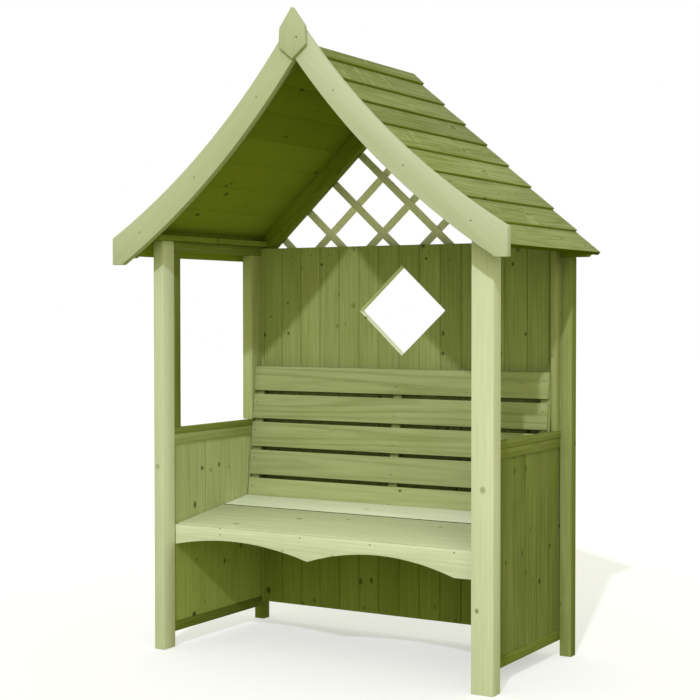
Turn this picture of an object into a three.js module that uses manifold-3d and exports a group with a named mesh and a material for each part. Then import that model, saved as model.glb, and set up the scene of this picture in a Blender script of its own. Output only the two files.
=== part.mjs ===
// Arbour seat: a timber garden seat with a swept gable roof, panelled sides, a lattice gable
// and a diamond window in the back. Millimetres, +Z up, front towards -Y. The origin lies on
// the ground, in the middle of the width and of the depth.
import * as THREE from "three";
import { mergeVertices } from "three/addons/utils/BufferGeometryUtils.js";
import Module from "manifold-3d";

const wasm = await Module();
wasm.setup();

// Clearance between neighbours that touch, and the overrun of a cut past a face
const fit = 0.3;
const overrun = 6;

// Posts: the left front post stands edge on, the right one broadside
const postSpan = 1250; // outer face to outer face
const frontPostHeight = 1368;
const frontLeftPostWidth = 40;
const frontLeftPostDepth = 62;
const frontRightPostWidth = 73;
const frontRightPostDepth = 51;
const rearPostWidth = 40;
const rearPostDepth = 37;
const postSpacing = 595; // front face of a front post to front face of a rear post

// Side frames: the left one is flush with its posts inside, the right one runs past its rear post
const sideThickness = 18;
const sideBoardThickness = 10;
const sideBoardPitch = 88;
const grooveWidth = 5;
const grooveDepth = 2.2;
const groundGap = 52; // ground to the underside of the bottom rails
const bottomRailHeight = 33;
const sillHeight = 741;
const sillCapThickness = 22;
const sillCapOverhang = 3;
const sillRailHeight = 33;
const topRailHeight = 33;
const frontStileWidth = 34;
const rearStileWidthRight = 35;
const rearStileWidthLeft = 74;
const eavesPlateInset = 19;
const eavesPlateWidth = 43;
const eavesPlateThickness = 18;

// Back panel with its diamond window
const backBoardThickness = 12;
const backBoardPitch = 80.5;
const backBoardShift = 11.5; // middle of the width to the nearest joint at its left
const backPanelLow = 70;
const backPanelTopGap = 7; // top of the front posts to the top of the panel
const backRailHeight = 28;
const backRailDepth = 22;
const diamondHalfWidth = 169;
const diamondHalfHeight = 156;
const diamondFrameWidth = 34;
const diamondPointWidth = 17.5; // above and below the window, where the frame's points are cut square

// Seat, which rises to the back, and its scalloped apron
const seatFrontHeight = 415;
const seatRise = 56; // from the front edge to the rear edge
const seatThickness = 20;
const seatJointDepth = 342; // front faces of the posts to the joint of the two boards
const seatBoardJoint = 5;
const seatEndGap = 2;
const apronThickness = 18;
const apronEndDepth = 88;
const apronTipDepth = 84;
const apronArchRise = 44;
const apronFlatRight = 102; // straight end outside the right arch
const apronCutLeft = 80; // length of the left arch that the side frame cuts off
const apronTipOffset = 60; // the point hangs this far left of the middle
const bearerThickness = 24;
const bearerHeight = 42;
const rearBearerDepth = 22;

// Backrest: five slats on three battens, leaning back
const backrestTilt = 6.5; // degrees back from plumb
const backrestGap = 8; // battens' top ends to the back panel
const backrestDrop = 26; // lowest slat's lower edge below the seat's rear edge
const slatCount = 5;
const slatWidth = 88.5;
const slatThickness = 16;
const slatGap = 12.5;
const battenWidth = 32;
const battenThickness = 16;
const battenTopGap = 20; // slats' top edge to the battens' top ends

// Roof: two planes of lapped boards on a front and a rear gable frame
const roofPitch = 42.5; // degrees
const eavesOverhang = 68; // posts' outer faces to the lower edges of the eaves boards
const frontRoofOverhang = 77; // roof boards' front ends to the posts' front faces
const rearRoofOverhang = 40; // roof boards' rear ends past the rear posts
const courseCount = 8;
const roofBoardThin = 5; // thickness at a board's upper edge
const roofBoardThick = 13; // and at its lower edge
const roofBoardLap = 12;
const ridgeGap = 4;
const topCourseExtra = 40; // length of the top course beyond the others' spacing
const ridgeCapReach = 41; // ridge line to the cap's lower edges, down the slope
const ridgeCapThickness = 8;
const frontRafterWidth = 30;
const frontRafterDepth = 26;
const rearRafterDepth = 60;
const rafterTailInset = 5;
const rafterTailDrop = 10; // height of the plumb cut at the tails
const gableTieHeight = 50;

// Lattice on the rear gable
const latticeSlatWidth = 26;
const latticeSlatThickness = 8;
const latticeHalving = 0.5; // the two layers are let into each other by this
const latticeHalfPitch = 107; // across, between columns of crossings
const latticeHalfRise = 98.3;
const latticeCrossingDrop = 434; // ridge of the frame to the middle crossing
const latticeLap = 30; // onto the gable frame

// Swept bargeboards and the finial plate over their joint
const bargeThickness = 25;
const bargeOverhang = 22; // lower edges of the eaves boards to the tips
const bargeTopRise = 97; // above the rafters' ridge line
const bargeTipRise = 86; // above the rafters' plane, at the tip
const bargeTipHeight = 87;
const bargeFootWidth = 39;
const bargeThroatDrop = 35; // rafters' ridge line to the inner edge's peak
const bargeOuterSag = 52;
const bargeInnerSag = 42;
const finialThickness = 12;
const finialRise = 120; // above the rafters' ridge line
const finialShoulderHalfWidth = 46;
const finialShoulderDrop = 63;
const finialHipHalfWidth = 49;
const finialHipDrop = 120;
const finialLength = 160;
const finialTipRadius = 5;

// Counts of straight steps in a curved edge
const sweepSteps = 18;
const archSteps = 14;
const tipSteps = 4;

// Places worked out from the sizes
const postOuter = postSpan / 2;
const boardSetBack = (sideThickness - sideBoardThickness) / 2;
const plateOuter = postOuter - eavesPlateInset;
const plateLow = frontPostHeight + fit;
const plateTop = plateLow + eavesPlateThickness;
const roofHalfSpan = postOuter + eavesOverhang;
const bargeHalfSpan = roofHalfSpan + bargeOverhang;
const roofAngle = THREE.MathUtils.degToRad(roofPitch);
const cosRoof = Math.cos(roofAngle);
const sinRoof = Math.sin(roofAngle);
const tanRoof = Math.tan(roofAngle);
const ridgeHeight = plateTop + fit + plateOuter * tanRoof; // of the rafters' upper faces
const rearOfPosts = postSpacing + rearPostDepth; // from the front posts' front faces
const bargeDepth = finialThickness + fit + bargeThickness + fit;
const overallDepth = bargeDepth + frontRoofOverhang + rearOfPosts + rearRoofOverhang;
const finialFront = -overallDepth / 2;
const finialBack = finialFront + finialThickness;
const bargeFront = finialBack + fit;
const bargeBack = bargeFront + bargeThickness;
const roofFront = bargeBack + fit;
const roofRear = overallDepth / 2;
const postFront = roofFront + frontRoofOverhang;
const rearPostFront = postFront + postSpacing;
const rearPostBack = rearPostFront + rearPostDepth;

// Places measured down the slope from the ridge and out from the rafters' upper faces
const onRoof = (along, out) => [along * cosRoof + out * sinRoof, ridgeHeight - along * sinRoof + out * cosRoof];
const eavesAlong = (roofHalfSpan - roofBoardThick * sinRoof) / cosRoof;
const courseExposure = (eavesAlong - ridgeGap - topCourseExtra) / courseCount;
const tailCorner = onRoof(eavesAlong - rafterTailInset, 0);
const tailLow = tailCorner[1] - rafterTailDrop;
const rearPostHeight = tailLow - fit;

// Finishes, one per batch of timber
const finish = (color, roughness) => new THREE.MeshStandardMaterial({ color, roughness, metalness: 0 });
const postFinish = finish("#c6cd9f", 0.8);
const boardFinish = finish("#8a945a", 0.85);
const railFinish = finish("#9ba46b", 0.82);
const seatFinish = finish("#b9c08d", 0.8);
const slatFinish = finish("#a3ab74", 0.8);
const roofFinish = finish("#8f9860", 0.85);
const rafterFinish = finish("#66732f", 0.85);
const bargeFinish = finish("#bcc497", 0.8);
const latticeFinish = finish("#b3bb85", 0.8);

const arbour = new THREE.Group();

function place(name, geometry, material, x, y, z) {
  const mesh = new THREE.Mesh(geometry, material);
  mesh.name = name;
  mesh.position.set(x, y, z);
  arbour.add(mesh);
  return mesh;
}

// A squared piece between two corners
function beam(name, material, [x0, x1], [y0, y1], [z0, z1]) {
  const geometry = new THREE.BoxGeometry(x1 - x0, y1 - y0, z1 - z0);
  return place(name, geometry, material, (x0 + x1) / 2, (y0 + y1) / 2, (z0 + z1) / 2);
}

function shapeOf(points) {
  return new THREE.Shape(points.map(([a, b]) => new THREE.Vector2(a, b)));
}

function extrude(points, length, hole) {
  const shape = shapeOf(points);
  if (hole) shape.holes.push(shapeOf(hole));
  return new THREE.ExtrudeGeometry(shape, { depth: length, bevelEnabled: false });
}

// An outline in X and Z, as thick as the stretch of Y from y0 to y1
function acrossDepth(outline, [y0, y1], hole) {
  return extrude(outline, y1 - y0, hole).rotateX(Math.PI / 2).translate(0, y1, 0);
}

// An outline in Y and Z, as long as the stretch of X from x0 to x1
function acrossWidth(outline, [x0, x1]) {
  return extrude(outline, x1 - x0).rotateX(Math.PI / 2).rotateZ(Math.PI / 2).translate(x0, 0, 0);
}

// An outline in X and Y, as tall as the stretch of Z from z0 to z1
function acrossHeight(outline, [z0, z1]) {
  return extrude(outline, z1 - z0).translate(0, 0, z0);
}

const mirrored = (outline) => outline.map(([a, b]) => [-a, b]).reverse();

const sideRange = (side, inner, outer) => (side < 0 ? [-outer, -inner] : [inner, outer]);

// Closed mesh to solid and back, for the cut and joined pieces
function solidOf(geometry) {
  const bare = geometry.clone();
  bare.deleteAttribute("normal");
  bare.deleteAttribute("uv");
  const merged = mergeVertices(bare);
  return new wasm.Manifold(
    new wasm.Mesh({
      numProp: 3,
      vertProperties: merged.attributes.position.array,
      triVerts: new Uint32Array(merged.index.array),
    }),
  );
}

function geometryOf(solid) {
  const mesh = solid.getMesh();
  const geometry = new THREE.BufferGeometry();
  geometry.setAttribute("position", new THREE.BufferAttribute(new Float32Array(mesh.vertProperties), mesh.numProp));
  geometry.setIndex(new THREE.BufferAttribute(new Uint32Array(mesh.triVerts), 1));
  const flat = geometry.toNonIndexed();
  flat.computeVertexNormals();
  return flat;
}

// Outline of tongued boards side by side, seen on end: vee grooves at every joint on both faces
function boardedOutline(start, end, back, front, firstJoint, pitch) {
  const joints = [];
  for (let joint = firstJoint; joint < end - grooveWidth; joint += pitch)
    if (joint > start + grooveWidth) joints.push(joint);
  const lower = joints.flatMap((joint) => [
    [joint - grooveWidth / 2, back],
    [joint, back + grooveDepth],
    [joint + grooveWidth / 2, back],
  ]);
  const upper = joints
    .slice()
    .reverse()
    .flatMap((joint) => [
      [joint + grooveWidth / 2, front],
      [joint, front - grooveDepth],
      [joint - grooveWidth / 2, front],
    ]);
  return [[start, back], ...lower, [end, back], [end, front], ...upper, [start, front]];
}

// Points along an arc from a to b that sags below the straight line between them
function sweptEdge([ax, az], [bx, bz], sag) {
  const chord = Math.hypot(bx - ax, bz - az);
  const radius = (chord * chord) / (8 * sag) + sag / 2;
  const half = Math.asin(chord / (2 * radius));
  const along = [(bx - ax) / chord, (bz - az) / chord];
  const away = [-along[1], along[0]]; // towards the arc's centre, above the line
  const middle = [(ax + bx) / 2, (az + bz) / 2];
  const centre = middle.map((value, i) => value + away[i] * (radius - sag));
  return Array.from({ length: sweepSteps + 1 }, (_, i) => {
    const turn = half * ((2 * i) / sweepSteps - 1);
    return centre.map((value, k) => value + radius * (Math.sin(turn) * along[k] - Math.cos(turn) * away[k]));
  });
}

// Posts
const leftPostBack = postFront + frontLeftPostDepth;
const rightPostBack = postFront + frontRightPostDepth;
const leftPostX = [-postOuter, -postOuter + frontLeftPostWidth];
const rightPostX = [postOuter - frontRightPostWidth, postOuter];
beam("post_front_left", postFinish, leftPostX, [postFront, leftPostBack], [0, frontPostHeight]);
beam("post_front_right", postFinish, rightPostX, [postFront, rightPostBack], [0, frontPostHeight]);
for (const [side, hand] of [[-1, "left"], [1, "right"]]) {
  const width = sideRange(side, postOuter - rearPostWidth, postOuter);
  beam(`post_rear_${hand}`, postFinish, width, [rearPostFront, rearPostBack], [0, rearPostHeight]);
}

// Side frames: a boarded lower half, a sill and an open window above it
const frameEnd = rearPostFront - fit;
const bottomRailTop = groundGap + bottomRailHeight;
const sillRailTop = sillHeight - sillCapThickness - fit;
const sillRailLow = sillRailTop - sillRailHeight;
const topRailLow = frontPostHeight - topRailHeight;
const windowHeight = [sillHeight + fit, topRailLow - fit];
function sideFrame(side, hand, outer, frontPostBack, lowerEnd) {
  const start = frontPostBack + fit;
  const inner = outer - sideThickness;
  const frameX = sideRange(side, inner, outer);
  const lower = [start, lowerEnd];
  const upper = [start, frameEnd];
  beam(`bottom_rail_${hand}`, railFinish, frameX, lower, [groundGap, bottomRailTop]);
  beam(`sill_rail_${hand}`, railFinish, frameX, lower, [sillRailLow, sillRailTop]);
  const capX = sideRange(side, inner, outer + sillCapOverhang);
  beam(`sill_cap_${hand}`, railFinish, capX, upper, [sillHeight - sillCapThickness, sillHeight]);
  beam(`top_rail_${hand}`, railFinish, frameX, upper, [topRailLow, frontPostHeight]);
  beam(`window_stile_front_${hand}`, railFinish, frameX, [start, start + frontStileWidth], windowHeight);
  const [low, high] = sideRange(side, inner + boardSetBack, outer - boardSetBack);
  const firstJoint = frameEnd - sideBoardPitch * Math.ceil(postSpacing / sideBoardPitch);
  const outline = boardedOutline(start, lowerEnd, -high, -low, firstJoint, sideBoardPitch);
  const turned = outline.map(([y, x]) => [-x, y]);
  const boards = acrossHeight(turned, [bottomRailTop + fit, sillRailLow - fit]);
  place(`side_boards_${hand}`, boards, boardFinish, 0, 0, 0);
}
const outerLeft = postOuter - frontLeftPostWidth + sideThickness;
const outerRight = postOuter - rearPostWidth - fit;
const innerLeft = outerLeft - sideThickness;
const innerRight = outerRight - sideThickness;
sideFrame(-1, "left", outerLeft, leftPostBack, frameEnd);
sideFrame(1, "right", outerRight, rightPostBack, rearPostBack);
const between = (gap) => [-innerLeft + gap, innerRight - gap];
const betweenBoards = (gap) => between(gap - boardSetBack);

// Rear window stiles: wide post stock at the left, frame stock at the right
const stoutStileY = [frameEnd - rearStileWidthLeft, frameEnd];
const slimStileY = [frameEnd - rearStileWidthRight, frameEnd];
beam("window_stile_rear_left", railFinish, leftPostX, stoutStileY, windowHeight);
beam("window_stile_rear_right", railFinish, [innerRight, outerRight], slimStileY, windowHeight);

// Eaves plates lie on the side frames and front posts and carry the roof
const frontFrame = [roofFront, roofFront + frontRafterWidth];
const rearFrame = [rearPostFront, rearPostBack];
for (const [side, hand] of [[-1, "left"], [1, "right"]]) {
  const plateX = sideRange(side, plateOuter - eavesPlateWidth, plateOuter);
  beam(`eaves_plate_${hand}`, railFinish, plateX, [frontFrame[1] + fit, frameEnd], [plateLow, plateTop]);
}

// Back panel between the side frames, against the rear posts
const panelBack = rearPostFront - fit;
const panelFront = panelBack - backBoardThickness;
const panelX = between(fit);
const backPanelHigh = frontPostHeight - backPanelTopGap;
const diamondHeight = rearPostHeight - diamondPointWidth - diamondHalfHeight;
const rhombus = (halfWidth, halfHeight) => [
  [-halfWidth, diamondHeight],
  [0, diamondHeight - halfHeight],
  [halfWidth, diamondHeight],
  [0, diamondHeight + halfHeight],
];
const diamond = rhombus(diamondHalfWidth, diamondHalfHeight);
const firstPanelJoint = -backBoardShift - backBoardPitch * Math.ceil(postOuter / backBoardPitch);
const panelOutline = boardedOutline(panelX[0], panelX[1], panelFront, panelBack, firstPanelJoint, backBoardPitch);
const panelBoards = solidOf(acrossHeight(panelOutline, [backPanelLow, backPanelHigh]));
const panelCutter = solidOf(acrossDepth(diamond, [panelFront - overrun, panelBack + overrun]));
place("back_boards", geometryOf(panelBoards.subtract(panelCutter)), boardFinish, 0, 0, 0);
const backRailX = [-postOuter + rearPostWidth + fit, innerRight - fit];
const backRailY = [rearPostFront, rearPostFront + backRailDepth];
beam("back_bottom_rail", railFinish, backRailX, backRailY, [backPanelLow, backPanelLow + backRailHeight]);
const diamondGrowth = 1 + (diamondFrameWidth * Math.hypot(diamondHalfWidth, diamondHalfHeight))
  / (diamondHalfWidth * diamondHalfHeight);
const rimHalfWidth = diamondHalfWidth * diamondGrowth;
const rimHalfHeight = diamondHalfHeight + diamondPointWidth;
const rimPoint = rimHalfWidth * (1 - rimHalfHeight / (diamondHalfHeight * diamondGrowth));
const diamondRim = [
  [-rimHalfWidth, diamondHeight],
  [-rimPoint, diamondHeight - rimHalfHeight],
  [rimPoint, diamondHeight - rimHalfHeight],
  [rimHalfWidth, diamondHeight],
  [rimPoint, diamondHeight + rimHalfHeight],
  [-rimPoint, diamondHeight + rimHalfHeight],
];
place("diamond_frame", acrossDepth(diamondRim, backRailY, diamond), railFinish, 0, 0, 0);

// Backrest plane, set by the battens' top ends, which stand just in front of the back panel
const leanAngle = THREE.MathUtils.degToRad(backrestTilt);
const backrestLength = slatCount * (slatWidth + slatGap) - slatGap;
const seatRearHeight = seatFrontHeight + seatRise;
const slatsLow = seatRearHeight - backrestDrop;
const backrestTop = slatsLow + backrestLength * Math.cos(leanAngle);
const backrestDepth = slatThickness + fit + battenThickness;
const battenTopY = panelFront - backrestGap;
const slatTopY = battenTopY + battenTopGap * Math.sin(leanAngle) - backrestDepth * Math.cos(leanAngle);
const backrestFaceAt = (z) => slatTopY + (z - backrestTop) * Math.tan(leanAngle);
const backrestY = backrestFaceAt(seatRearHeight);

// Seat: two boards on bearers, behind the apron
const apronFront = Math.max(leftPostBack, rightPostBack) + fit;
const apronBack = apronFront + apronThickness;
const seatStart = apronBack + fit;
const seatSlope = Math.atan2(seatRearHeight - seatFrontHeight, backrestY - apronFront);
const seatTopAt = (y) => seatFrontHeight + (y - apronFront) * Math.tan(seatSlope);
const seatDrop = seatThickness / Math.cos(seatSlope); // thickness measured plumb
function slopedPiece(name, material, width, [y0, y1], topDrop, depth) {
  const outline = [
    [y0, seatTopAt(y0) - topDrop - depth],
    [y1, seatTopAt(y1) - topDrop - depth],
    [y1, seatTopAt(y1) - topDrop],
    [y0, seatTopAt(y0) - topDrop],
  ];
  place(name, acrossWidth(outline, width), material, 0, 0, 0);
}
const seatX = betweenBoards(seatEndGap);
const seatJoint = postFront + seatJointDepth;
const seatBack = backrestFaceAt(seatRearHeight - seatDrop) - fit;
slopedPiece("seat_board_front", seatFinish, seatX, [seatStart, seatJoint], 0, seatDrop);
slopedPiece("seat_board_rear", seatFinish, seatX, [seatJoint + seatBoardJoint, seatBack], 0, seatDrop);
const rearBearerBack = backrestFaceAt(slatsLow) - fit;
const rearBearerY = [rearBearerBack - rearBearerDepth, rearBearerBack];
const bearerTopDrop = seatDrop + fit;
const bearerX = betweenBoards(fit);
slopedPiece("seat_bearer_rear", railFinish, bearerX, rearBearerY, bearerTopDrop, bearerHeight);
const sideBearerY = [seatStart, rearBearerY[0] - fit];
const sideBearerX = {
  left: [bearerX[0], bearerX[0] + bearerThickness],
  right: [bearerX[1] - bearerThickness, bearerX[1]],
};
for (const [hand, width] of Object.entries(sideBearerX))
  slopedPiece(`seat_bearer_${hand}`, railFinish, width, sideBearerY, bearerTopDrop, bearerHeight);

// Apron: two shallow arches that meet in a point, the left one cut off by the side frame
function apronArch(foot, tip, end) {
  const middle = (foot + tip) / 2;
  const half = (tip - foot) / 2;
  const footLow = seatFrontHeight - apronEndDepth;
  const tipLow = seatFrontHeight - apronTipDepth;
  return Array.from({ length: archSteps + 1 }, (_, i) => {
    const x = end + ((tip - end) * i) / archSteps;
    const share = (x - middle) / half;
    const base = footLow + ((tipLow - footLow) * (share + 1)) / 2;
    return [x, base + apronArchRise * (1 - share * share)];
  });
}
const apronX = between(fit);
const rightFoot = apronX[1] - apronFlatRight;
const leftArch = apronArch(apronX[0] - apronCutLeft, -apronTipOffset, apronX[0]);
const rightArch = apronArch(rightFoot, -apronTipOffset, rightFoot).reverse();
const apronOutline = [
  ...leftArch,
  ...rightArch.slice(1),
  [apronX[1], seatFrontHeight - apronEndDepth],
  [apronX[1], seatFrontHeight],
  [apronX[0], seatFrontHeight],
];
place("seat_apron", acrossDepth(apronOutline, [apronFront, apronBack]), seatFinish, 0, 0, 0);

// Backrest: slats and battens, placed down the leaning plane and back from it
function leaningPiece(name, material, width, [high, low], [near, far]) {
  const corner = (down, back) => [
    backrestFaceAt(backrestTop) - down * Math.sin(leanAngle) + back * Math.cos(leanAngle),
    backrestTop - down * Math.cos(leanAngle) - back * Math.sin(leanAngle),
  ];
  const outline = [corner(low, near), corner(low, far), corner(high, far), corner(high, near)];
  place(name, acrossWidth(outline, width), material, 0, 0, 0);
}
const slatX = between(fit);
for (let i = 0; i < slatCount; i++) {
  const top = i * (slatWidth + slatGap);
  leaningPiece(`back_slat_${i + 1}`, slatFinish, slatX, [top, top + slatWidth], [0, slatThickness]);
}
const battenDepth = [slatThickness + fit, backrestDepth];
const battenX = {
  left: [slatX[0], slatX[0] + battenWidth],
  middle: [-battenWidth / 2, battenWidth / 2],
  right: [slatX[1] - battenWidth, slatX[1]],
};
for (const [hand, width] of Object.entries(battenX))
  leaningPiece(`back_batten_${hand}`, railFinish, width, [battenTopGap, backrestLength], battenDepth);

// Roof boards: each board's lower edge is rebated over the thin upper edge of the one below.
const lowerEdgeOf = (course) => eavesAlong - course * courseExposure;
const roofBoardLength = courseExposure + roofBoardLap - fit;
const boardTaper = (share) => roofBoardThin + (roofBoardThick - roofBoardThin) * share;
function roofBoardOutline(course) {
  const lowerEdge = lowerEdgeOf(course);
  const upperEdge = course === courseCount - 1 ? ridgeGap : lowerEdge - roofBoardLength;
  const rebate = lowerEdge - roofBoardLap;
  const lip = fit + boardTaper((roofBoardLap + fit) / roofBoardLength) + fit;
  const foot = [[upperEdge, fit]];
  if (course > 0) foot.push([rebate, fit], [rebate, lip], [lowerEdge, lip]);
  else foot.push([lowerEdge, fit]);
  const top = [[lowerEdge, fit + roofBoardThick], [upperEdge, fit + roofBoardThin]];
  return [...foot, ...top].map(([along, out]) => onRoof(along, out));
}
for (let course = 0; course < courseCount; course++) {
  const outline = roofBoardOutline(course);
  for (const [hand, points] of [["left", mirrored(outline)], ["right", outline]]) {
    const board = acrossDepth(points, [roofFront, roofRear]);
    place(`roof_board_${hand}_${course + 1}`, board, roofFinish, 0, 0, 0);
  }
}

// Ridge cap: two narrow boards joined to an angle
const topCourseLength = lowerEdgeOf(courseCount - 1) - ridgeGap;
const capBed = fit + boardTaper((ridgeCapReach - ridgeGap) / topCourseLength) + fit;
const capTop = capBed + ridgeCapThickness;
const capSide = [onRoof(ridgeCapReach, capBed), onRoof(ridgeCapReach, capTop)];
const capInside = [0, ridgeHeight + capBed / cosRoof];
const capOutside = [0, ridgeHeight + capTop / cosRoof];
const capOutline = [capInside, ...capSide, capOutside, ...mirrored(capSide)];
place("ridge_cap", acrossDepth(capOutline, [roofFront, roofRear]), roofFinish, 0, 0, 0);

// Gable frames: paired rafters with level-cut tails, and a tie across the rear pair
const tailCut = [tailCorner[0] - (tailCorner[1] - tailLow) * tanRoof, tailLow];
const rafterUnderside = (depth, z) => (ridgeHeight - depth / cosRoof - z) / tanRoof;
const underRidge = (depth) => [0, ridgeHeight - depth / cosRoof];
const frontHalf = [[rafterUnderside(frontRafterDepth, tailLow), tailLow], tailCut, tailCorner];
const frontPeak = [0, ridgeHeight];
const frontGable = [...frontHalf, frontPeak, ...mirrored(frontHalf), underRidge(frontRafterDepth)];
place("gable_frame_front", acrossDepth(frontGable, frontFrame), rafterFinish, 0, 0, 0);
const rearHalf = [tailCut, tailCorner];
const rearGable = [...rearHalf, [0, ridgeHeight], ...mirrored(rearHalf)];
const tieTop = tailLow + gableTieHeight;
const gableOpening = (lap) => {
  const low = tieTop - lap;
  const half = rafterUnderside(rearRafterDepth - lap, low);
  return [[-half, low], [half, low], underRidge(rearRafterDepth - lap)];
};
place("gable_frame_rear", acrossDepth(rearGable, rearFrame, gableOpening(0)), rafterFinish, 0, 0, 0);

// Lattice: two crossing layers of slats fixed to the rear face of the gable frame
const latticeFront = rearFrame[1] + fit;
const latticeMiddle = latticeFront + latticeSlatThickness;
const latticeBack = latticeMiddle + latticeSlatThickness - latticeHalving;
const latticeAngle = Math.atan2(latticeHalfRise, latticeHalfPitch);
const latticeCentre = ridgeHeight - latticeCrossingDrop;
const latticeSlatLength = roofHalfSpan * 2;
function latticeSlat(step, direction, [y0, y1]) {
  const slat = new THREE.BoxGeometry(latticeSlatLength, y1 - y0, latticeSlatWidth);
  slat.rotateY(-direction * latticeAngle);
  return solidOf(slat.translate(step * 2 * latticeHalfPitch, (y0 + y1) / 2, latticeCentre));
}
const latticeSteps = Math.ceil(roofHalfSpan / latticeHalfPitch / 2);
const slats = [];
for (let step = -latticeSteps; step <= latticeSteps; step++) {
  slats.push(latticeSlat(step, -1, [latticeFront, latticeMiddle]));
  slats.push(latticeSlat(step, 1, [latticeMiddle - latticeHalving, latticeBack]));
}
const bounds = solidOf(acrossDepth(gableOpening(latticeLap), [latticeFront - overrun, latticeBack + overrun]));
const lattice = slats.reduce((joined, slat) => joined.add(slat)).intersect(bounds);
const [largest] = lattice.decompose().sort((a, b) => b.volume() - a.volume());
place("gable_trellis", geometryOf(largest), latticeFinish, 0, 0, 0);

// Bargeboards meet in a plumb joint at the middle
const planeAt = (x) => ridgeHeight - x * tanRoof;
const bargeTip = [bargeHalfSpan, planeAt(bargeHalfSpan) + bargeTipRise];
const bargeFoot = [bargeHalfSpan, bargeTip[1] - bargeTipHeight];
const bargeHeel = [bargeHalfSpan - bargeFootWidth, bargeFoot[1]];
const plumbJoint = ([x, z]) => [Math.max(x, fit / 2), z];
const outerEdge = sweptEdge([0, ridgeHeight + bargeTopRise], bargeTip, bargeOuterSag).map(plumbJoint);
const innerEdge = sweptEdge([0, ridgeHeight - bargeThroatDrop], bargeHeel, bargeInnerSag).map(plumbJoint);
const bargeOutline = [...innerEdge, bargeFoot, ...outerEdge.reverse()];
for (const [hand, points] of [["left", mirrored(bargeOutline)], ["right", bargeOutline]])
  place(`bargeboard_${hand}`, acrossDepth(points, [bargeFront, bargeBack]), bargeFinish, 0, 0, 0);

// Finial plate: a kite with square shoulders and a rounded tip
const finialTop = ridgeHeight + finialRise;
const tipSlant = Math.atan2(finialShoulderDrop, finialShoulderHalfWidth);
const tipCentre = finialTop - finialTipRadius / Math.cos(tipSlant);
const roundedTip = Array.from({ length: tipSteps + 1 }, (_, i) => {
  const turn = Math.PI / 2 + tipSlant * ((2 * i) / tipSteps - 1);
  return [finialTipRadius * Math.cos(turn), tipCentre + finialTipRadius * Math.sin(turn)];
});
const finialOutline = [
  [0, finialTop - finialLength],
  [finialHipHalfWidth, finialTop - finialHipDrop],
  [finialShoulderHalfWidth, finialTop - finialShoulderDrop],
  ...roundedTip,
  [-finialShoulderHalfWidth, finialTop - finialShoulderDrop],
  [-finialHipHalfWidth, finialTop - finialHipDrop],
];
place("finial_plate", acrossDepth(finialOutline, [finialFront, finialBack]), bargeFinish, 0, 0, 0);

export default arbour;
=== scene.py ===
# %% [markdown]
# Arbour seat, finished in Blender
# The seat is a small timber shelter: boarded sides and back, a bench, and a steep roof behind two
# swept bargeboards. Its frame of plain solids is ready, with every piece at its real place, so this
# lesson gives each piece its looks: eased arrises, separate boards, nails and the grain of the wood.
# The frame could be given a material and left as it is. Each piece is remade instead, because real
# timber shows its joints, its end grain and the soft shine along its edges.

# %% Load the frame
import math
import random

import bmesh
import bpy
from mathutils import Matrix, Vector


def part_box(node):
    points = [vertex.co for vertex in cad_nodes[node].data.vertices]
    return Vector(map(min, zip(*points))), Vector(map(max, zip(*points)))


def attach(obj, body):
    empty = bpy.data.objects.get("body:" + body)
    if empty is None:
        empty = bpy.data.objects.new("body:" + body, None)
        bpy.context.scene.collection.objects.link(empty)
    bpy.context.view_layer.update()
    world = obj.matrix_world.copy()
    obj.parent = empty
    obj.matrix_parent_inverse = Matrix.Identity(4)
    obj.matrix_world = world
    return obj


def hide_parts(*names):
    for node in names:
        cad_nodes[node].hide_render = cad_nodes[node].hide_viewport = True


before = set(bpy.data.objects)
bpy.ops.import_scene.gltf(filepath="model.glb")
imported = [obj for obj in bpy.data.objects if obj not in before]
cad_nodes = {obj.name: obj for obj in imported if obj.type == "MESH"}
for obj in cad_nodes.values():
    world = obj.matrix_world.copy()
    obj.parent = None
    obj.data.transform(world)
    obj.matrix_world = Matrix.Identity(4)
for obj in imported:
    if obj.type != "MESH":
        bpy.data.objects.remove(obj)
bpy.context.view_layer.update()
MM = 0.001
X_AXIS, Y_AXIS, Z_AXIS = Vector((1, 0, 0)), Vector((0, 1, 0)), Vector((0, 0, 1))  # right, back and up

# %% [markdown]
# The camera
# The picture was taken a few steps away, from the front and a little to the right, at chest height.
# A camera could be placed by eye. Here its place was worked out from the corners of the posts and
# the roof, so that every edge falls where it does in the picture.

# %% Camera
CAMERA_PLACE = (2.4913, -4.2404, 1.1294)  # metres
CAMERA_LENS_MM = 76.96
CAMERA_TURN, CAMERA_DROP, CAMERA_ROLL = 30.71, 1.45, 0.03  # degrees


def set_camera():
    """The scene's camera, at the place and turn that were worked out."""
    bpy.ops.object.camera_add(location=CAMERA_PLACE)
    camera = bpy.context.object
    camera.name = "camera"
    camera.rotation_euler = [math.radians(a) for a in (90 - CAMERA_DROP, CAMERA_ROLL, CAMERA_TURN)]
    camera.data.lens = CAMERA_LENS_MM
    bpy.context.scene.camera = camera
    return camera


print("camera:", set_camera().name)

# %% [markdown]
# Colours and nodes
# Paint and timber colours are usually noted as sRGB hex values, but a shader works with linear
# light, so one function turns the first into the second. A second small function adds a node with
# its settings and links, which keeps each material short enough to read from top to bottom. Where
# sockets of a node share a name, their number stands for them. In Math nodes 0, 1 and 2 are what is
# worked on. In Mix nodes 0 is the share, and 6 and 7 are the two colours, or 1 and 2 the two shaders.
# In Map Range 1 and 2 are the ends of the range that is read, 3 and 4 the ends of what is given.


# %% Colour and node helpers
def linear(hex_colour):
    """An sRGB hex colour as linear red, green and blue, with an alpha of 1."""
    shares = [int(hex_colour[i : i + 2], 16) / 255 for i in (1, 3, 5)]
    return [s / 12.92 if s <= 0.04045 else ((s + 0.055) / 1.055) ** 2.4 for s in shares] + [1.0]


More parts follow.
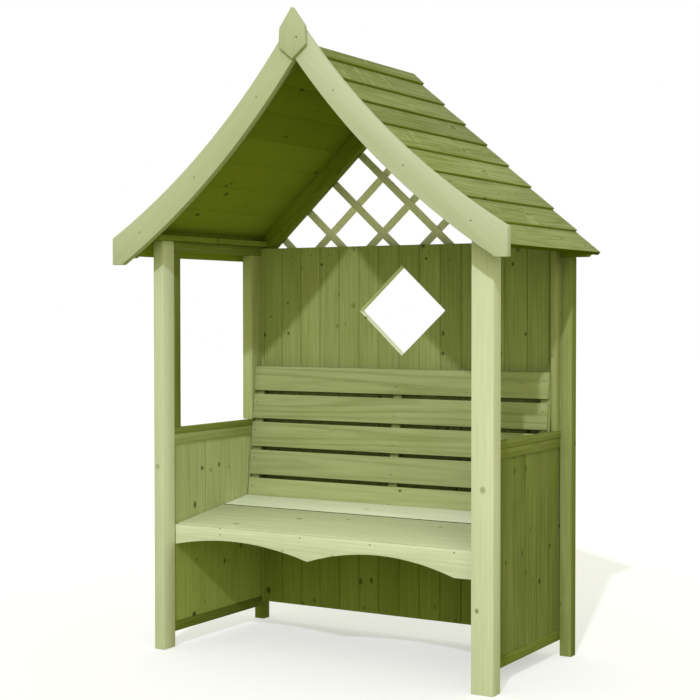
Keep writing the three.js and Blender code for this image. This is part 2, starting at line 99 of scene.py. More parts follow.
def add_node(tree, kind, inputs=None, **settings):
    """A new node: its settings are set, then each input is linked or given its value."""
    node = tree.nodes.new(kind)
    for key, value in settings.items():
        setattr(node, key, value)
    for key, value in (inputs or {}).items():
        if isinstance(value, bpy.types.NodeSocket):
            tree.links.new(value, node.inputs[key])
        else:
            node.inputs[key].default_value = value
    return node


def new_tree(block):
    """The emptied node tree of a material or world."""
    block.use_nodes = True
    block.node_tree.nodes.clear()
    return block.node_tree


print("white is", linear("#FFFFFF"))

# %% [markdown]
# Light, floor and backdrop
# The seat was photographed against pure white, in low sunshine that comes over the right shoulder.
# The shadow of the gable on the back panel gives its direction: from the gable's inner peak the
# shadow falls to the left, back and down. One sun lamp with a soft edge makes that shadow. A second,
# very wide one stands for the reflector beside the camera that lights the inside of the shelter, and
# a plain pale sky fills the rest. One picture of a sky could do it all, but these three can each be set
# until sunlit and shaded wood are as bright as in the picture. The white ground is for the camera only:
# light that bounces from it comes from a darker one, as from a lawn, or the roof would glow from below.

# %% Stage
SUN_TRAVEL = Vector((-0.224, 0.768, -0.600))  # left, back and down
SUN_STRENGTH, SUN_COLOUR = 1.50, "#EEEEFF"  # a little cooler than the light in the shade
SUN_WIDTH = 1.6  # degrees, which blurs the shadow's edge a little
FILL_TRAVEL = Vector((-0.50, 0.85, -0.06))  # almost level, so that it reaches in under the roof
FILL_STRENGTH, FILL_COLOUR = 0.66, "#FFFFBE"
FILL_WIDTH = 50.0  # degrees, so wide that its own shadows hardly show
LAMP_PLACE = (1, -4, 4)  # a sun lamp shines alike from any place
SKY_STRENGTH, SKY_COLOUR = 0.73, "#FFFFE8"
LAWN_COLOUR = "#A6AA6A"
FLOOR_SIZE = 60.0  # metres, so that it runs almost to the horizon
FLOOR_TONE, FLOOR_GLOW = 0.62, 0.46  # together white in the open, pale grey in the shadow


def seen_directly(tree):
    """1 for rays from the camera, and for what metal and glass would show, else 0."""
    path = add_node(tree, "ShaderNodeLightPath").outputs
    mirror = add_node(tree, "ShaderNodeMath", {0: path["Is Glossy Ray"], 1: path["Is Transmission Ray"]},
                      operation="MAXIMUM")
    both = add_node(tree, "ShaderNodeMath", {0: path["Is Camera Ray"], 1: mirror.outputs[0]},
                    operation="MAXIMUM")
    return both.outputs[0]


def set_world():
    """White where the camera looks past the seat, and a pale sky for the light."""
    world = bpy.data.worlds.new("pale_sky")
    bpy.context.scene.world = world
    tree = new_tree(world)
    white = add_node(tree, "ShaderNodeBackground", {"Color": linear("#FFFFFF"), "Strength": 1.0})
    sky = add_node(tree, "ShaderNodeBackground", {"Color": linear(SKY_COLOUR), "Strength": SKY_STRENGTH})
    both = add_node(tree, "ShaderNodeMixShader",
                    {0: seen_directly(tree), 1: sky.outputs[0], 2: white.outputs[0]})
    add_node(tree, "ShaderNodeOutputWorld", {"Surface": both.outputs[0]})


def floor_material():
    """Matt white paper that glows a little, so it stays white, but reflects light as a lawn does."""
    material = bpy.data.materials.new("white_ground")
    tree = new_tree(material)
    lawn = add_node(tree, "ShaderNodeBsdfDiffuse", {"Color": linear(LAWN_COLOUR)})
    paper = add_node(tree, "ShaderNodeBsdfDiffuse", {"Color": (FLOOR_TONE, FLOOR_TONE, FLOOR_TONE, 1)})
    glow = add_node(tree, "ShaderNodeEmission", {"Strength": FLOOR_GLOW})
    ground = add_node(tree, "ShaderNodeAddShader", {0: paper.outputs[0], 1: glow.outputs[0]})
    mixed = add_node(tree, "ShaderNodeMixShader",
                     {0: seen_directly(tree), 1: lawn.outputs[0], 2: ground.outputs[0]})
    add_node(tree, "ShaderNodeOutputMaterial", {"Surface": mixed.outputs[0]})
    return material


def distant_lamp(name, travel, strength, width, colour):
    """Light from far away that travels in one direction, softer the wider its source."""
    bpy.ops.object.light_add(type="SUN", location=LAMP_PLACE)
    lamp = bpy.context.object
    lamp.name = name
    lamp.data.energy = strength
    lamp.data.angle = math.radians(width)
    lamp.data.color = linear(colour)[:3]
    lamp.rotation_euler = travel.to_track_quat("-Z", "Y").to_euler()
    return lamp


def set_stage():
    """The sky, the floor and both lamps, shown at a plain level."""
    set_world()
    bpy.ops.mesh.primitive_plane_add(size=FLOOR_SIZE, location=(0, 0, 0))
    floor = bpy.context.object
    floor.name = "floor"
    floor.data.materials.append(floor_material())
    sun = distant_lamp("low_sun", SUN_TRAVEL, SUN_STRENGTH, SUN_WIDTH, SUN_COLOUR)
    fill = distant_lamp("reflector", FILL_TRAVEL, FILL_STRENGTH, FILL_WIDTH, FILL_COLOUR)
    bpy.context.scene.view_settings.view_transform = "Standard"
    return floor, sun, fill


print("stage:", [item.name for item in set_stage()])

# %% [markdown]
# Pressure-treated softwood
# Every board is planed or sawn redwood pine, soaked in a green preservative under pressure. What the
# eye sees is a pale green ground, slightly darker growth rings that run as stripes along a board and
# as arches where the saw left the heart, short fibres, a cloudy uptake of the green, and small dark
# knots that the grain swims around. A picture of wood could be wrapped round the boards, but it would
# stretch and repeat. This material is solid instead: each board carries its own coordinates, in metres
# along its grain, across it and through it, measured from the heart of its tree, so rings, knots and
# end grain agree on all six faces. The next cells make its patterns one by one.

# %% [markdown]
# Knots
# Knots come first, because the rings swim round them. A knot is a branch that the saw went through, so
# it reaches deep into the board. Knots could be placed by hand. Here the wood is divided into blocks
# with one knot at most in each, and chance decides where it lies, how large it is and how dark.

# %% Knots
KNOT_CELL = (0.17, 0.060, 0.060)  # the size of a block in metres
KNOT_STRAY = 0.9  # how freely a knot lies in its block, from 0 to 1
KNOT_SHAPE = (0.8, 1.0, 0.35)  # the less, the longer: a little along the grain, deep through the board
KNOT_SMALL, KNOT_LARGE = 0.0034, 0.0105  # radius in metres
KNOT_CORE, KNOT_RIM = 0.5, 1.25  # in radii: all knot within the first, plain wood beyond the second
KNOT_RAGGED = 1.6  # how far the fibres fray a knot's edge
KNOT_FAINT = 0.45  # the strength of the faintest knots
SWIM_NEAR, SWIM_FAR = 0.8, 5.0  # in radii: most swim within the first, none beyond the second


def knots_of(tree, grain, fibre, knot_share):
    """Where the knots are, from 0 to 1, and how strongly the rings swim round them."""
    inverse = [1 / size for size in KNOT_CELL]
    blocks = add_node(tree, "ShaderNodeVectorMath", {0: grain, 1: inverse}, operation="MULTIPLY")
    cell = add_node(tree, "ShaderNodeTexVoronoi",
                    {"Vector": blocks.outputs[0], "Scale": 1.0, "Randomness": KNOT_STRAY})
    heart = add_node(tree, "ShaderNodeVectorMath", {0: cell.outputs["Position"], 1: KNOT_CELL},
                     operation="MULTIPLY")
    away = add_node(tree, "ShaderNodeVectorMath", {0: grain, 1: heart.outputs[0]}, operation="SUBTRACT")
    branch = add_node(tree, "ShaderNodeVectorMath", {0: away.outputs[0], 1: KNOT_SHAPE},
                      operation="MULTIPLY")
    distance = add_node(tree, "ShaderNodeVectorMath", {0: branch.outputs[0]}, operation="LENGTH")
    lot = add_node(tree, "ShaderNodeSeparateColor", {0: cell.outputs["Color"]}).outputs
    there = add_node(tree, "ShaderNodeMath", {0: lot[0], 1: 1 - knot_share}, operation="GREATER_THAN")
    radius = add_node(tree, "ShaderNodeMapRange", {"Value": lot[1], 3: KNOT_SMALL, 4: KNOT_LARGE})
    ratio = add_node(tree, "ShaderNodeMath", {0: distance.outputs["Value"], 1: radius.outputs[0]},
                     operation="DIVIDE")
    frayed = add_node(tree, "ShaderNodeMath", {0: fibre, 1: KNOT_RAGGED, 2: ratio.outputs[0]},
                      operation="MULTIPLY_ADD")
    core = add_node(tree, "ShaderNodeMapRange",
                    {"Value": frayed.outputs[0], 1: KNOT_RIM + KNOT_RAGGED / 2,
                     2: KNOT_CORE + KNOT_RAGGED / 2, 3: 0.0, 4: 1.0}, interpolation_type="SMOOTHSTEP")
    halo = add_node(tree, "ShaderNodeMapRange",
                    {"Value": ratio.outputs[0], 1: SWIM_FAR, 2: SWIM_NEAR, 3: 0.0, 4: 1.0},
                    interpolation_type="SMOOTHSTEP")
    depth = add_node(tree, "ShaderNodeMapRange", {"Value": lot[2], 3: KNOT_FAINT, 4: 1.0})
    strong = add_node(tree, "ShaderNodeMath", {0: depth.outputs[0], 1: there.outputs[0]},
                      operation="MULTIPLY")
    knot = add_node(tree, "ShaderNodeMath", {0: core.outputs[0], 1: strong.outputs[0]},
                    operation="MULTIPLY")
    swim = add_node(tree, "ShaderNodeMath", {0: halo.outputs[0], 1: strong.outputs[0]},
                    operation="MULTIPLY")
    return knot.outputs[0], swim.outputs[0]


print("knots are", round(2 * KNOT_SMALL / MM, 1), "to", round(2 * KNOT_LARGE / MM, 1), "mm across")

# %% [markdown]
# Growth rings
# A tree adds a pale layer in spring and a dark one in summer, round its heart. A sawn board shows them
# as stripes, or as long arches, because the log thins to its top. Blender's Wave texture draws rings
# too, but knots cannot push them aside. Here the distance from the heart is worked out, bent by noise
# and by the knots, and sent through a sine. Real rings are 2 to 4 mm apart, finer than the picture
# can show, so they are drawn 11 mm apart, and 14 mm on the upper slats.

# %% Growth rings
WANDER_SCALE = (1.2, 9.0, 9.0)  # the log's outline changes over 0.8 m along and 0.1 m across
RING_WANDER = 0.010  # how far the rings stray from round, in metres
LOG_TAPER = 0.014  # how much the log's radius shrinks with each metre
SWIM = 3.0  # how many radians a knot shifts the rings round it
RING_LINE = -0.1  # where in its wave a ring starts to darken: the higher, the finer the line
RING_APART = 0.011  # in metres


def rings_of(tree, grain, swim, ring):
    """The growth rings, 0 in the pale early wood and 1 in the dark late wood."""
    drawn = add_node(tree, "ShaderNodeVectorMath", {0: grain, 1: WANDER_SCALE}, operation="MULTIPLY")
    noise = add_node(tree, "ShaderNodeTexNoise", {"Vector": drawn.outputs[0], "Scale": 1.0, "Detail": 1.0})
    across = add_node(tree, "ShaderNodeVectorMath", {0: grain, 1: (0, 1, 1)}, operation="MULTIPLY")
    radius = add_node(tree, "ShaderNodeVectorMath", {0: across.outputs[0]}, operation="LENGTH")
    taper = add_node(tree, "ShaderNodeVectorMath", {0: grain, 1: (LOG_TAPER, 0, 0)},
                     operation="DOT_PRODUCT")
    girth = add_node(tree, "ShaderNodeMath", {0: radius.outputs["Value"], 1: taper.outputs["Value"]},
                     operation="ADD")
    stray = add_node(tree, "ShaderNodeMath", {0: noise.outputs[0], 1: RING_WANDER * 2, 2: girth.outputs[0]},
                     operation="MULTIPLY_ADD")
    turns = add_node(tree, "ShaderNodeMath", {0: stray.outputs[0], 1: math.tau / ring},
                     operation="MULTIPLY")
    phase = add_node(tree, "ShaderNodeMath", {0: swim, 1: SWIM, 2: turns.outputs[0]},
                     operation="MULTIPLY_ADD")
    wave = add_node(tree, "ShaderNodeMath", {0: phase.outputs[0]}, operation="SINE")
    dark = add_node(tree, "ShaderNodeMapRange",
                    {"Value": wave.outputs[0], 1: RING_LINE, 2: 1.0, 3: 0.0, 4: 1.0},
                    interpolation_type="SMOOTHSTEP")
    return dark.outputs[0]


print("rings are", round(RING_APART / MM, 1), "mm apart on most boards")

# %% [markdown]
# Fibre, clouds, rubs and painted shade
# Short fibres run along the grain, and the green soaked in unevenly, in clouds. Both are noise that is
# drawn out along the board. The sawn roof boards were also rubbed pale in patches, nearly across the
# grain, where they lay in a stack. Low down inside, under the seat, shade is painted in: the wood is
# made darker there. Rubs and that shade could be painted onto each board, but then every new board
# would need a painter. As patterns they come with the wood.

# %% Fibre, clouds, rubs and painted shade
FIBRE = (5.0, 120.0, 120.0)  # streaks 8 mm wide and 200 mm long, drawn coarser than real fibres
CLOUD = (2.2, 8.0, 8.0)  # clouds some 0.1 m wide and 0.5 m long
RUBBED = "#C4CC9A"  # where stacking rubbed a sawn board
RUB_ALONG, RUB_ACROSS = (3.0, 8.0, 0), (48, -18, 0)  # rubs run nearly across a board
RUB_PATCH = (3.5, 9.0, 9.0)  # patches some 0.1 m wide and 0.3 m long
RUB_FAINT, RUB_FULL = 0.52, 0.68  # the noise from which a rub shows, and at which it shows fully
PATCH_FAINT, PATCH_FULL = 0.52, 0.70  # the same for a patch
UNDER_SEAT_SHADE = "#E9F0B4"  # painted shade: what is left of the light on inside faces under the seat
SHADE_TOP, SHADE_FADE = 0.38, 0.06  # in metres over the ground
PLAIN, FINE, FINEST = 1.0, 3.0, 4.0  # how many finer noises are laid over the first


def streaks_of(tree, grain, scales, detail):
    """Noise, drawn out along the grain: fibres, clouds and patches."""
    drawn = add_node(tree, "ShaderNodeVectorMath", {0: grain, 1: scales}, operation="MULTIPLY")
    noise = add_node(tree, "ShaderNodeTexNoise",
                     {"Vector": drawn.outputs[0], "Scale": 1.0, "Detail": detail})
    return noise.outputs[0]


def scuffs_of(tree, grain):
    """Faint pale rubs in patches, nearly across the grain, as stacking leaves them on sawn boards."""
    along = add_node(tree, "ShaderNodeVectorMath", {0: grain, 1: RUB_ALONG}, operation="DOT_PRODUCT")
    across = add_node(tree, "ShaderNodeVectorMath", {0: grain, 1: RUB_ACROSS}, operation="DOT_PRODUCT")
    place = add_node(tree, "ShaderNodeCombineXYZ", {0: along.outputs["Value"], 1: across.outputs["Value"]})
    noise = add_node(tree, "ShaderNodeTexNoise", {"Vector": place.outputs[0], "Scale": 1.0, "Detail": FINE})
    lines = add_node(tree, "ShaderNodeMapRange",
                     {"Value": noise.outputs[0], 1: RUB_FAINT, 2: RUB_FULL, 3: 0.0, 4: 1.0},
                     interpolation_type="SMOOTHSTEP")
    patch = add_node(tree, "ShaderNodeMapRange",
                     {"Value": streaks_of(tree, grain, RUB_PATCH, PLAIN), 1: PATCH_FAINT, 2: PATCH_FULL,
                      3: 0.0, 4: 1.0}, interpolation_type="SMOOTHSTEP")
    both = add_node(tree, "ShaderNodeMath", {0: lines.outputs[0], 1: patch.outputs[0]},
                    operation="MULTIPLY")
    return both.outputs[0]


def under_seat_shade_of(tree):
    """1 on inside faces under the seat, where shade is painted, and 0 elsewhere."""
    place = add_node(tree, "ShaderNodeTexCoord").outputs["Object"]
    height = add_node(tree, "ShaderNodeSeparateXYZ", {0: place}).outputs[2]
    low = add_node(tree, "ShaderNodeMapRange",
                   {"Value": height, 1: SHADE_TOP + SHADE_FADE, 2: SHADE_TOP, 3: 0.0, 4: 1.0},
                   interpolation_type="SMOOTHSTEP")
    inside = add_node(tree, "ShaderNodeAttribute", attribute_name="inside").outputs["Fac"]
    return add_node(tree, "ShaderNodeMath", {0: low.outputs[0], 1: inside}, operation="MULTIPLY").outputs[0]


# shade is painted on the inside faces below this height
print("wood stays damp below", SHADE_TOP, "m")

# %% [markdown]
# The whole wood
# Rings, fibre and clouds add up to one number, the depth, which picks a colour between the pale early
# wood and the dark late wood. Each board is a little lighter or darker as a whole. Ends drank more of
# the green, and some edges and faces are painted darker, as shade, and some paler, as light, which a
# number on each face tells. Then come rubs, painted shade under the seat, and knots. Rings and fibres
# also give the relief, and planed faces a soft shine that end grain and the faces painted in shade lack.
# The grain could be one colour with bump alone, but the eye knows wood by its stripes.

# %% The whole wood
RING_SHARE, FIBRE_SHARE, CLOUD_SHARE = 0.26, 1.25, 0.90  # of the depth
MIDDLE_DEPTH = 0.42  # between the pale and the dark colour, on the average
TONE_RANGE = (0.93, 1.06)  # how bright the darkest and the lightest board are
END_SHARE = 0.45  # how much darker the open ends drink the green
PAINTED_LIGHT = "#F2F6DC"  # painted light: the pale colour laid on faces that stand in the light
GLOSS = 0.12  # of planed faces; end grain and the faces painted in shade have none
ROUGH_PALE, ROUGH_DARK = 0.70, 0.86  # dry timber has a broad, faint shine, fainter in its dark rings
RING_RIDGE, FIBRE_GROOVE = 0.15, -0.8  # late wood stands up a little, and open fibres lie deep
PLANED, SAWN = 0.0005, 0.0010  # depth of the relief in metres, drawn deeper than real so that it shows
RELIEF_STRENGTH = 0.5


def treated_softwood(name, pale, dark, knot_colour, ring=RING_APART, knot_share=0.35, relief=PLANED,
                     contrast=1.0, figure=1.0, ends=END_SHARE, shade=None, scuffs=0.0, shadowed=False):
    """Green treated pine, from its pale early wood to its dark late wood.

    ring is how far apart the rings are, knot_share how many blocks hold a knot, contrast how far apart
    pale and dark lie, and figure how clear the rings are. ends is how much darker the faces marked 1 are,
    end grain and painted shade, in the colour of shade or else of the late wood, scuffs is how strong
    the rubs are, and the last flag paints shade on the inside faces low down, under the seat.
    """
    material = bpy.data.materials.new(name)
    tree = new_tree(material)
    grain = add_node(tree, "ShaderNodeAttribute", attribute_name="grain").outputs["Vector"]
    tone = add_node(tree, "ShaderNodeAttribute", attribute_name="tone").outputs["Fac"]
    cut = add_node(tree, "ShaderNodeAttribute", attribute_name="cut").outputs["Fac"]
    fibre = streaks_of(tree, grain, FIBRE, FINEST)
    knot, swim = knots_of(tree, grain, fibre, knot_share)
    rings = rings_of(tree, grain, swim, ring)
    cloud = streaks_of(tree, grain, CLOUD, FINE)
    layers = ((rings, RING_SHARE * figure), (fibre, FIBRE_SHARE), (cloud, CLOUD_SHARE))
    depth = MIDDLE_DEPTH - contrast * sum(share for _, share in layers) / 2
    for layer, share in layers:
        depth = add_node(tree, "ShaderNodeMath", {0: layer, 1: share * contrast, 2: depth},
                         operation="MULTIPLY_ADD").outputs[0]
    colour = add_node(tree, "ShaderNodeMix", {0: depth, 6: linear(pale), 7: linear(dark)},
                      data_type="RGBA", clamp_factor=True)
    level = add_node(tree, "ShaderNodeMapRange", {"Value": tone, 3: TONE_RANGE[0], 4: TONE_RANGE[1]})
    shaded = add_node(tree, "ShaderNodeVectorMath", {0: colour.outputs[2], "Scale": level.outputs[0]},
                      operation="SCALE").outputs[0]
    # cut is 1 on end grain and on faces painted in shade, and below 0 on faces painted paler as light; a Mix
    # ignores what is below 0
    for colour_there, share in ((linear(shade or dark), ends), (linear(PAINTED_LIGHT), -1.0)):
        there = add_node(tree, "ShaderNodeMath", {0: cut, 1: share}, operation="MULTIPLY")
        shaded = add_node(tree, "ShaderNodeMix", {0: there.outputs[0], 6: shaded, 7: colour_there},
                          data_type="RGBA", clamp_factor=True).outputs[2]
    if scuffs:
        open_air = add_node(tree, "ShaderNodeMath", {0: cut, 1: -scuffs, 2: scuffs},
                            operation="MULTIPLY_ADD")
        rubbed = add_node(tree, "ShaderNodeMath", {0: scuffs_of(tree, grain), 1: open_air.outputs[0]},
                          operation="MULTIPLY")
        shaded = add_node(tree, "ShaderNodeMix", {0: rubbed.outputs[0], 6: shaded, 7: linear(RUBBED)},
                          data_type="RGBA").outputs[2]
    # painted shade on the inside faces under the seat
    if shadowed:
        shaded = add_node(tree, "ShaderNodeMix", {0: under_seat_shade_of(tree), 6: shaded, 7: linear(UNDER_SEAT_SHADE)},
                          data_type="RGBA", blend_type="MULTIPLY").outputs[2]
    spotted = add_node(tree, "ShaderNodeMix", {0: knot, 6: shaded, 7: linear(knot_colour)},
                       data_type="RGBA")
    ridges = add_node(tree, "ShaderNodeMath", {0: rings, 1: RING_RIDGE}, operation="MULTIPLY")
    height = add_node(tree, "ShaderNodeMath", {0: fibre, 1: FIBRE_GROOVE, 2: ridges.outputs[0]},
                      operation="MULTIPLY_ADD")
    bump = add_node(tree, "ShaderNodeBump",
                    {"Strength": RELIEF_STRENGTH, "Distance": relief, "Height": height.outputs[0]})
    sheen = add_node(tree, "ShaderNodeMapRange", {"Value": depth, 3: ROUGH_PALE, 4: ROUGH_DARK})
    gloss = add_node(tree, "ShaderNodeMapRange", {"Value": cut, 3: GLOSS, 4: 0.0})
    wood = add_node(
        tree, "ShaderNodeBsdfPrincipled",
        {"Base Color": spotted.outputs[2], "Roughness": sheen.outputs[0], "Normal": bump.outputs[0],
         "Specular IOR Level": gloss.outputs[0]},
    )
    add_node(tree, "ShaderNodeOutputMaterial", {"Surface": wood.outputs[0]})
    return material


print("the wood has a roughness of", ROUGH_PALE, "to", ROUGH_DARK)

# %% [markdown]
# Batches of timber
# Pieces of one kind were cut and treated together, so they share a wood: its pale early wood, its dark
# late wood and its knots. Some pieces get a paler copy of their wood, which paints light on them, and
# some a darker copy, which paints shade. One wood for all would be simpler, but the seat would look cast
# in one piece. Planed stock is calm and smooth, and sawn stock is rough, rubbed and deeper in colour.

# %% Batches of timber
WOODS = {
    # planed post stock from the outer log: pale and calm, with straight faint rings
    "post_timber": treated_softwood("planed_pine_posts", "#E2E8C9", "#BEC69C", "#7D8749", knot_share=0.30,
                                    contrast=0.5, figure=0.5),
    "post_left": treated_softwood("planed_pine_left_post", "#D6DDBC", "#B1B98F", "#737D40", knot_share=0.26,
                                  contrast=0.5, figure=0.5),
    # the slim right rear post is a darker green, and its right face is painted darker still, as shade
    "rear_post": treated_softwood("planed_pine_rear_posts", "#A4AD73", "#76813D", "#4A5616", contrast=0.6,
                                  ends=0.9),
    # planed rails and stiles: plain green, with a paler copy that paints light and darker copies that paint
    # shade
    "frame_timber": treated_softwood("planed_pine_rails", "#ACB47D", "#7F8849", "#434F14", contrast=0.6),
    "frame_lit": treated_softwood("planed_pine_stiles", "#BBC291", "#929A60", "#5A6620", contrast=0.6),
    "frame_shaded": treated_softwood("planed_pine_outer_rails", "#89934C", "#616C24", "#3A460A",
                                     contrast=0.7),
    "frame_deep_shade": treated_softwood("planed_pine_bottom_rails", "#7A8537", "#525E14", "#303C04",
                                   contrast=0.7),
    "eaves": treated_softwood("planed_pine_eaves", "#919B4A", "#626E1C", "#3A460A", contrast=0.7),
    # planed rails of the back window: painted almost white, as light on their faces, nearly without knots
    "diamond_frame": treated_softwood("planed_pine_window_frame", "#F4F8DE", "#D6DCB4", "#77823F",
                                      knot_share=0.1, contrast=0.6),
    # planed matchboard, cut from small trees: full of small dark knots between the vee lines
    # the back and the left panel get painted shade on their inside faces under the seat
    "matchboard_timber": treated_softwood("planed_pine_matchboard", "#A1AA71", "#707B37", "#222E00",
                                          knot_share=0.85, contrast=0.6, figure=0.6, ends=0.1, shadowed=True),
    # the left panel's inner boards are a paler copy that paints light, the right panel's outer boards a darker
    # copy that paints shade
    "matchboard_lit": treated_softwood("planed_pine_inner_boards", "#C6CE9E", "#98A066", "#3A460A",
                                        knot_share=0.60, contrast=0.7, figure=0.6, ends=0.5, shadowed=True),
    "matchboard_shaded": treated_softwood("planed_pine_outer_boards", "#848E4A", "#56611E", "#222E02",
                                          knot_share=0.75, contrast=0.9, figure=0.5, ends=0.4),
    # planed seat boards, the palest stock, with painted shade on the edges in the open joint; the apron's edges
    # are plain
    "seat_timber": treated_softwood("planed_pine_seat", "#DFE5BC", "#B8C08E", "#7F8A46", knot_share=0.25,
                                    contrast=0.6, ends=1.0, shade="#3E480E"),
    # the rear seat board is a paler copy, painted light
    "seat_lit": treated_softwood("planed_pine_rear_seat", "#F6FAE0", "#D6DDB6", "#8A9454", knot_share=0.2,
                                  contrast=0.6, ends=1.0, shade="#3E480E"),
    "apron": treated_softwood("planed_pine_apron", "#DFE5C8", "#B8C09D", "#7F8A46", knot_share=0.25,
                              contrast=0.6),
    # planed slats: wide arches of rings on their faces, and edges painted dark, as shade, in the narrow gaps
    "slat_timber": treated_softwood("planed_pine_slats", "#AEB686", "#838C54", "#36420A", knot_share=0.14,
                                    contrast=0.5, figure=1.2, ends=1.0, shade="#2E3A00"),
    "slat_upper": treated_softwood("planed_pine_upper_slats", "#A6AF7E", "#788148", "#36420A", ring=0.014,
                                   knot_share=0.14, contrast=0.55, figure=1.8, ends=1.0, shade="#2E3A00"),
    # sawn roof boards: rough and streaky, with pale rubs above, and edges and undersides painted a deeper
    # green, as shade
    "roof_timber": treated_softwood("sawn_pine_roof", "#98A166", "#6A7530", "#3A460E", relief=SAWN,
                                    knot_share=0.5, contrast=1.0, ends=1.0, shade="#8C993A", scuffs=0.40),
    "roof_upper": treated_softwood("sawn_pine_upper_roof", "#8C955C", "#616C28", "#3A460E", relief=SAWN,
                                   knot_share=0.5, contrast=1.0, ends=1.0, shade="#818E32", scuffs=0.34),
    # the right eaves board's edge and underside are painted darkest, as shade
    "roof_eaves": treated_softwood("sawn_pine_lowest_roof", "#98A166", "#6A7530", "#3A460E", relief=SAWN,
                                   knot_share=0.5, contrast=1.0, ends=1.0, shade="#525E08", scuffs=0.40),
    "ridge": treated_softwood("sawn_pine_ridge", "#8A9354", "#5F6A28", "#3A460E", relief=SAWN,
                              contrast=0.8, ends=1.0, shade="#84902E", scuffs=0.30),
    # sawn rafters: a full dark green, painted shade for the shadow under the roof
    "rafter_timber": treated_softwood("sawn_pine_rafters", "#818D2A", "#5C6912", "#323E06", relief=SAWN,
                                      contrast=0.8),
    # planed and sanded barge stock: smooth, greyish and even, with the faintest grain of all
    "barge_timber": treated_softwood("planed_pine_barge", "#CFD6BC", "#AFB793", "#8A9460",
                                     knot_share=0.10, contrast=0.30, figure=0.5),
    "barge_left": treated_softwood("planed_pine_left_barge", "#C8CFAE", "#A8B085", "#848E5A",
                                   knot_share=0.10, contrast=0.30, figure=0.5),
    # thin planed trellis slats, painted almost white, as light
    "trellis_timber": treated_softwood("planed_pine_trellis", "#FFFFF8", "#F2F5E2", "#A0A970",
                                       knot_share=0.05, contrast=0.4),
}
print("woods:", sorted(WOODS))

# %% [markdown]
# Squared timber
# A length of squared timber starts as a cube at its size and place. A real one is never knife-sharp:
# the planer or a pass of sandpaper eases each arris, and that small round catches the light. It could
# be left to a bevel in the material, but then the outline would stay hard, so the edges are bevelled
# in edit mode. An operator acts on all that is selected, so each helper first selects its own piece.

# %% Squared timber
ARRIS = 1.6 * MM
SHARP = math.radians(25)  # an edge where the faces turn more than this is eased
SMOOTH = math.radians(40)  # an edge where they turn less than this is shaded smooth


def only(piece):
    """Selects one piece and makes it active."""
    bpy.ops.object.select_all(action="DESELECT")
    piece.select_set(True)
    bpy.context.view_layer.objects.active = piece


def settle(piece):
    """Puts a piece's place and turn into its mesh."""
    only(piece)
    bpy.ops.object.transform_apply(location=True, rotation=True, scale=True)
    return piece


def ease(piece, arris=ARRIS, segments=2):
    """Rounds every sharp arris, shades it smooth, and leaves flat faces flat."""
    only(piece)
    bpy.ops.object.mode_set(mode="EDIT")
    bpy.ops.mesh.select_mode(type="EDGE")
    bpy.ops.mesh.select_all(action="DESELECT")
    bpy.ops.mesh.edges_select_sharp(sharpness=SHARP)
    bpy.ops.mesh.bevel(offset=arris, segments=segments, clamp_overlap=True)
    bpy.ops.object.mode_set(mode="OBJECT")
    bpy.ops.object.shade_smooth_by_angle(angle=SMOOTH)
    return piece


def timber(name, size, centre, tilt=(0, 0, 0), arris=ARRIS):
    """A squared length of timber of that size, round that centre, tilted by angles in radians."""
    bpy.ops.object.select_all(action="DESELECT")
    bpy.ops.mesh.primitive_cube_add(size=1, location=centre, rotation=tilt)
    piece = bpy.context.object
    piece.name = name
    piece.scale = size
    settle(piece)
    return ease(piece, arris) if arris else piece


print("arrises are eased by", ARRIS / MM, "mm")

# %% [markdown]
# Timber sawn to shape
# A piece sawn to a curve starts from its solid in the frame, because its outline was worked out there.
# It could be drawn again, but then two outlines would have to agree. The solid is a mesh of loose
# triangles, so a copy is merged into whole faces, and then its arrises are eased the same way.

# %% Timber sawn to shape
MERGE = 0.01 * MM
FLAT = math.radians(0.2)  # neighbours that turn less than this are one face


def sawn_to_shape(name, node, arris=ARRIS):
    """A piece with the outline of its solid: loose triangles merged, arrises eased."""
    piece = bpy.data.objects.new(name, cad_nodes[node].data.copy())
    bpy.context.scene.collection.objects.link(piece)
    piece.data.materials.clear()
    only(piece)
    bpy.ops.object.mode_set(mode="EDIT")
    bpy.ops.mesh.select_all(action="SELECT")
    bpy.ops.mesh.customdata_custom_splitnormals_clear()
    bpy.ops.mesh.remove_doubles(threshold=MERGE)
    bpy.ops.mesh.dissolve_limited(angle_limit=FLAT)
    bpy.ops.object.mode_set(mode="OBJECT")
    return ease(piece, arris)


print("corners closer than", MERGE / MM, "mm are merged")

# %% [markdown]
# How the grain lies
# Each piece is given its grain: three numbers at each point, along, across and through the wood, from
# a heart that lies beside the board at a distance of its own. The material could read the place in the
# scene instead, but then the rings would run on from board to board, as if all were sawn from one
# trunk. Two more values go with it: a tone for the whole board, and a number for each face that says
# whether it drank more of the green, as end grain does, or has shade or light painted on it.

# %% How the grain lies
HEART_NEAR, HEART_FAR = 0.018, 0.070  # how far the heart lies in front of a board or behind it, in metres
HEART_BESIDE = 0.060  # and how far to its side at most
LOG_LENGTH = 30.0  # metres: each board starts at a place of its own in so long a log
END_FACING = 0.75  # a face that looks this much along the grain is end grain


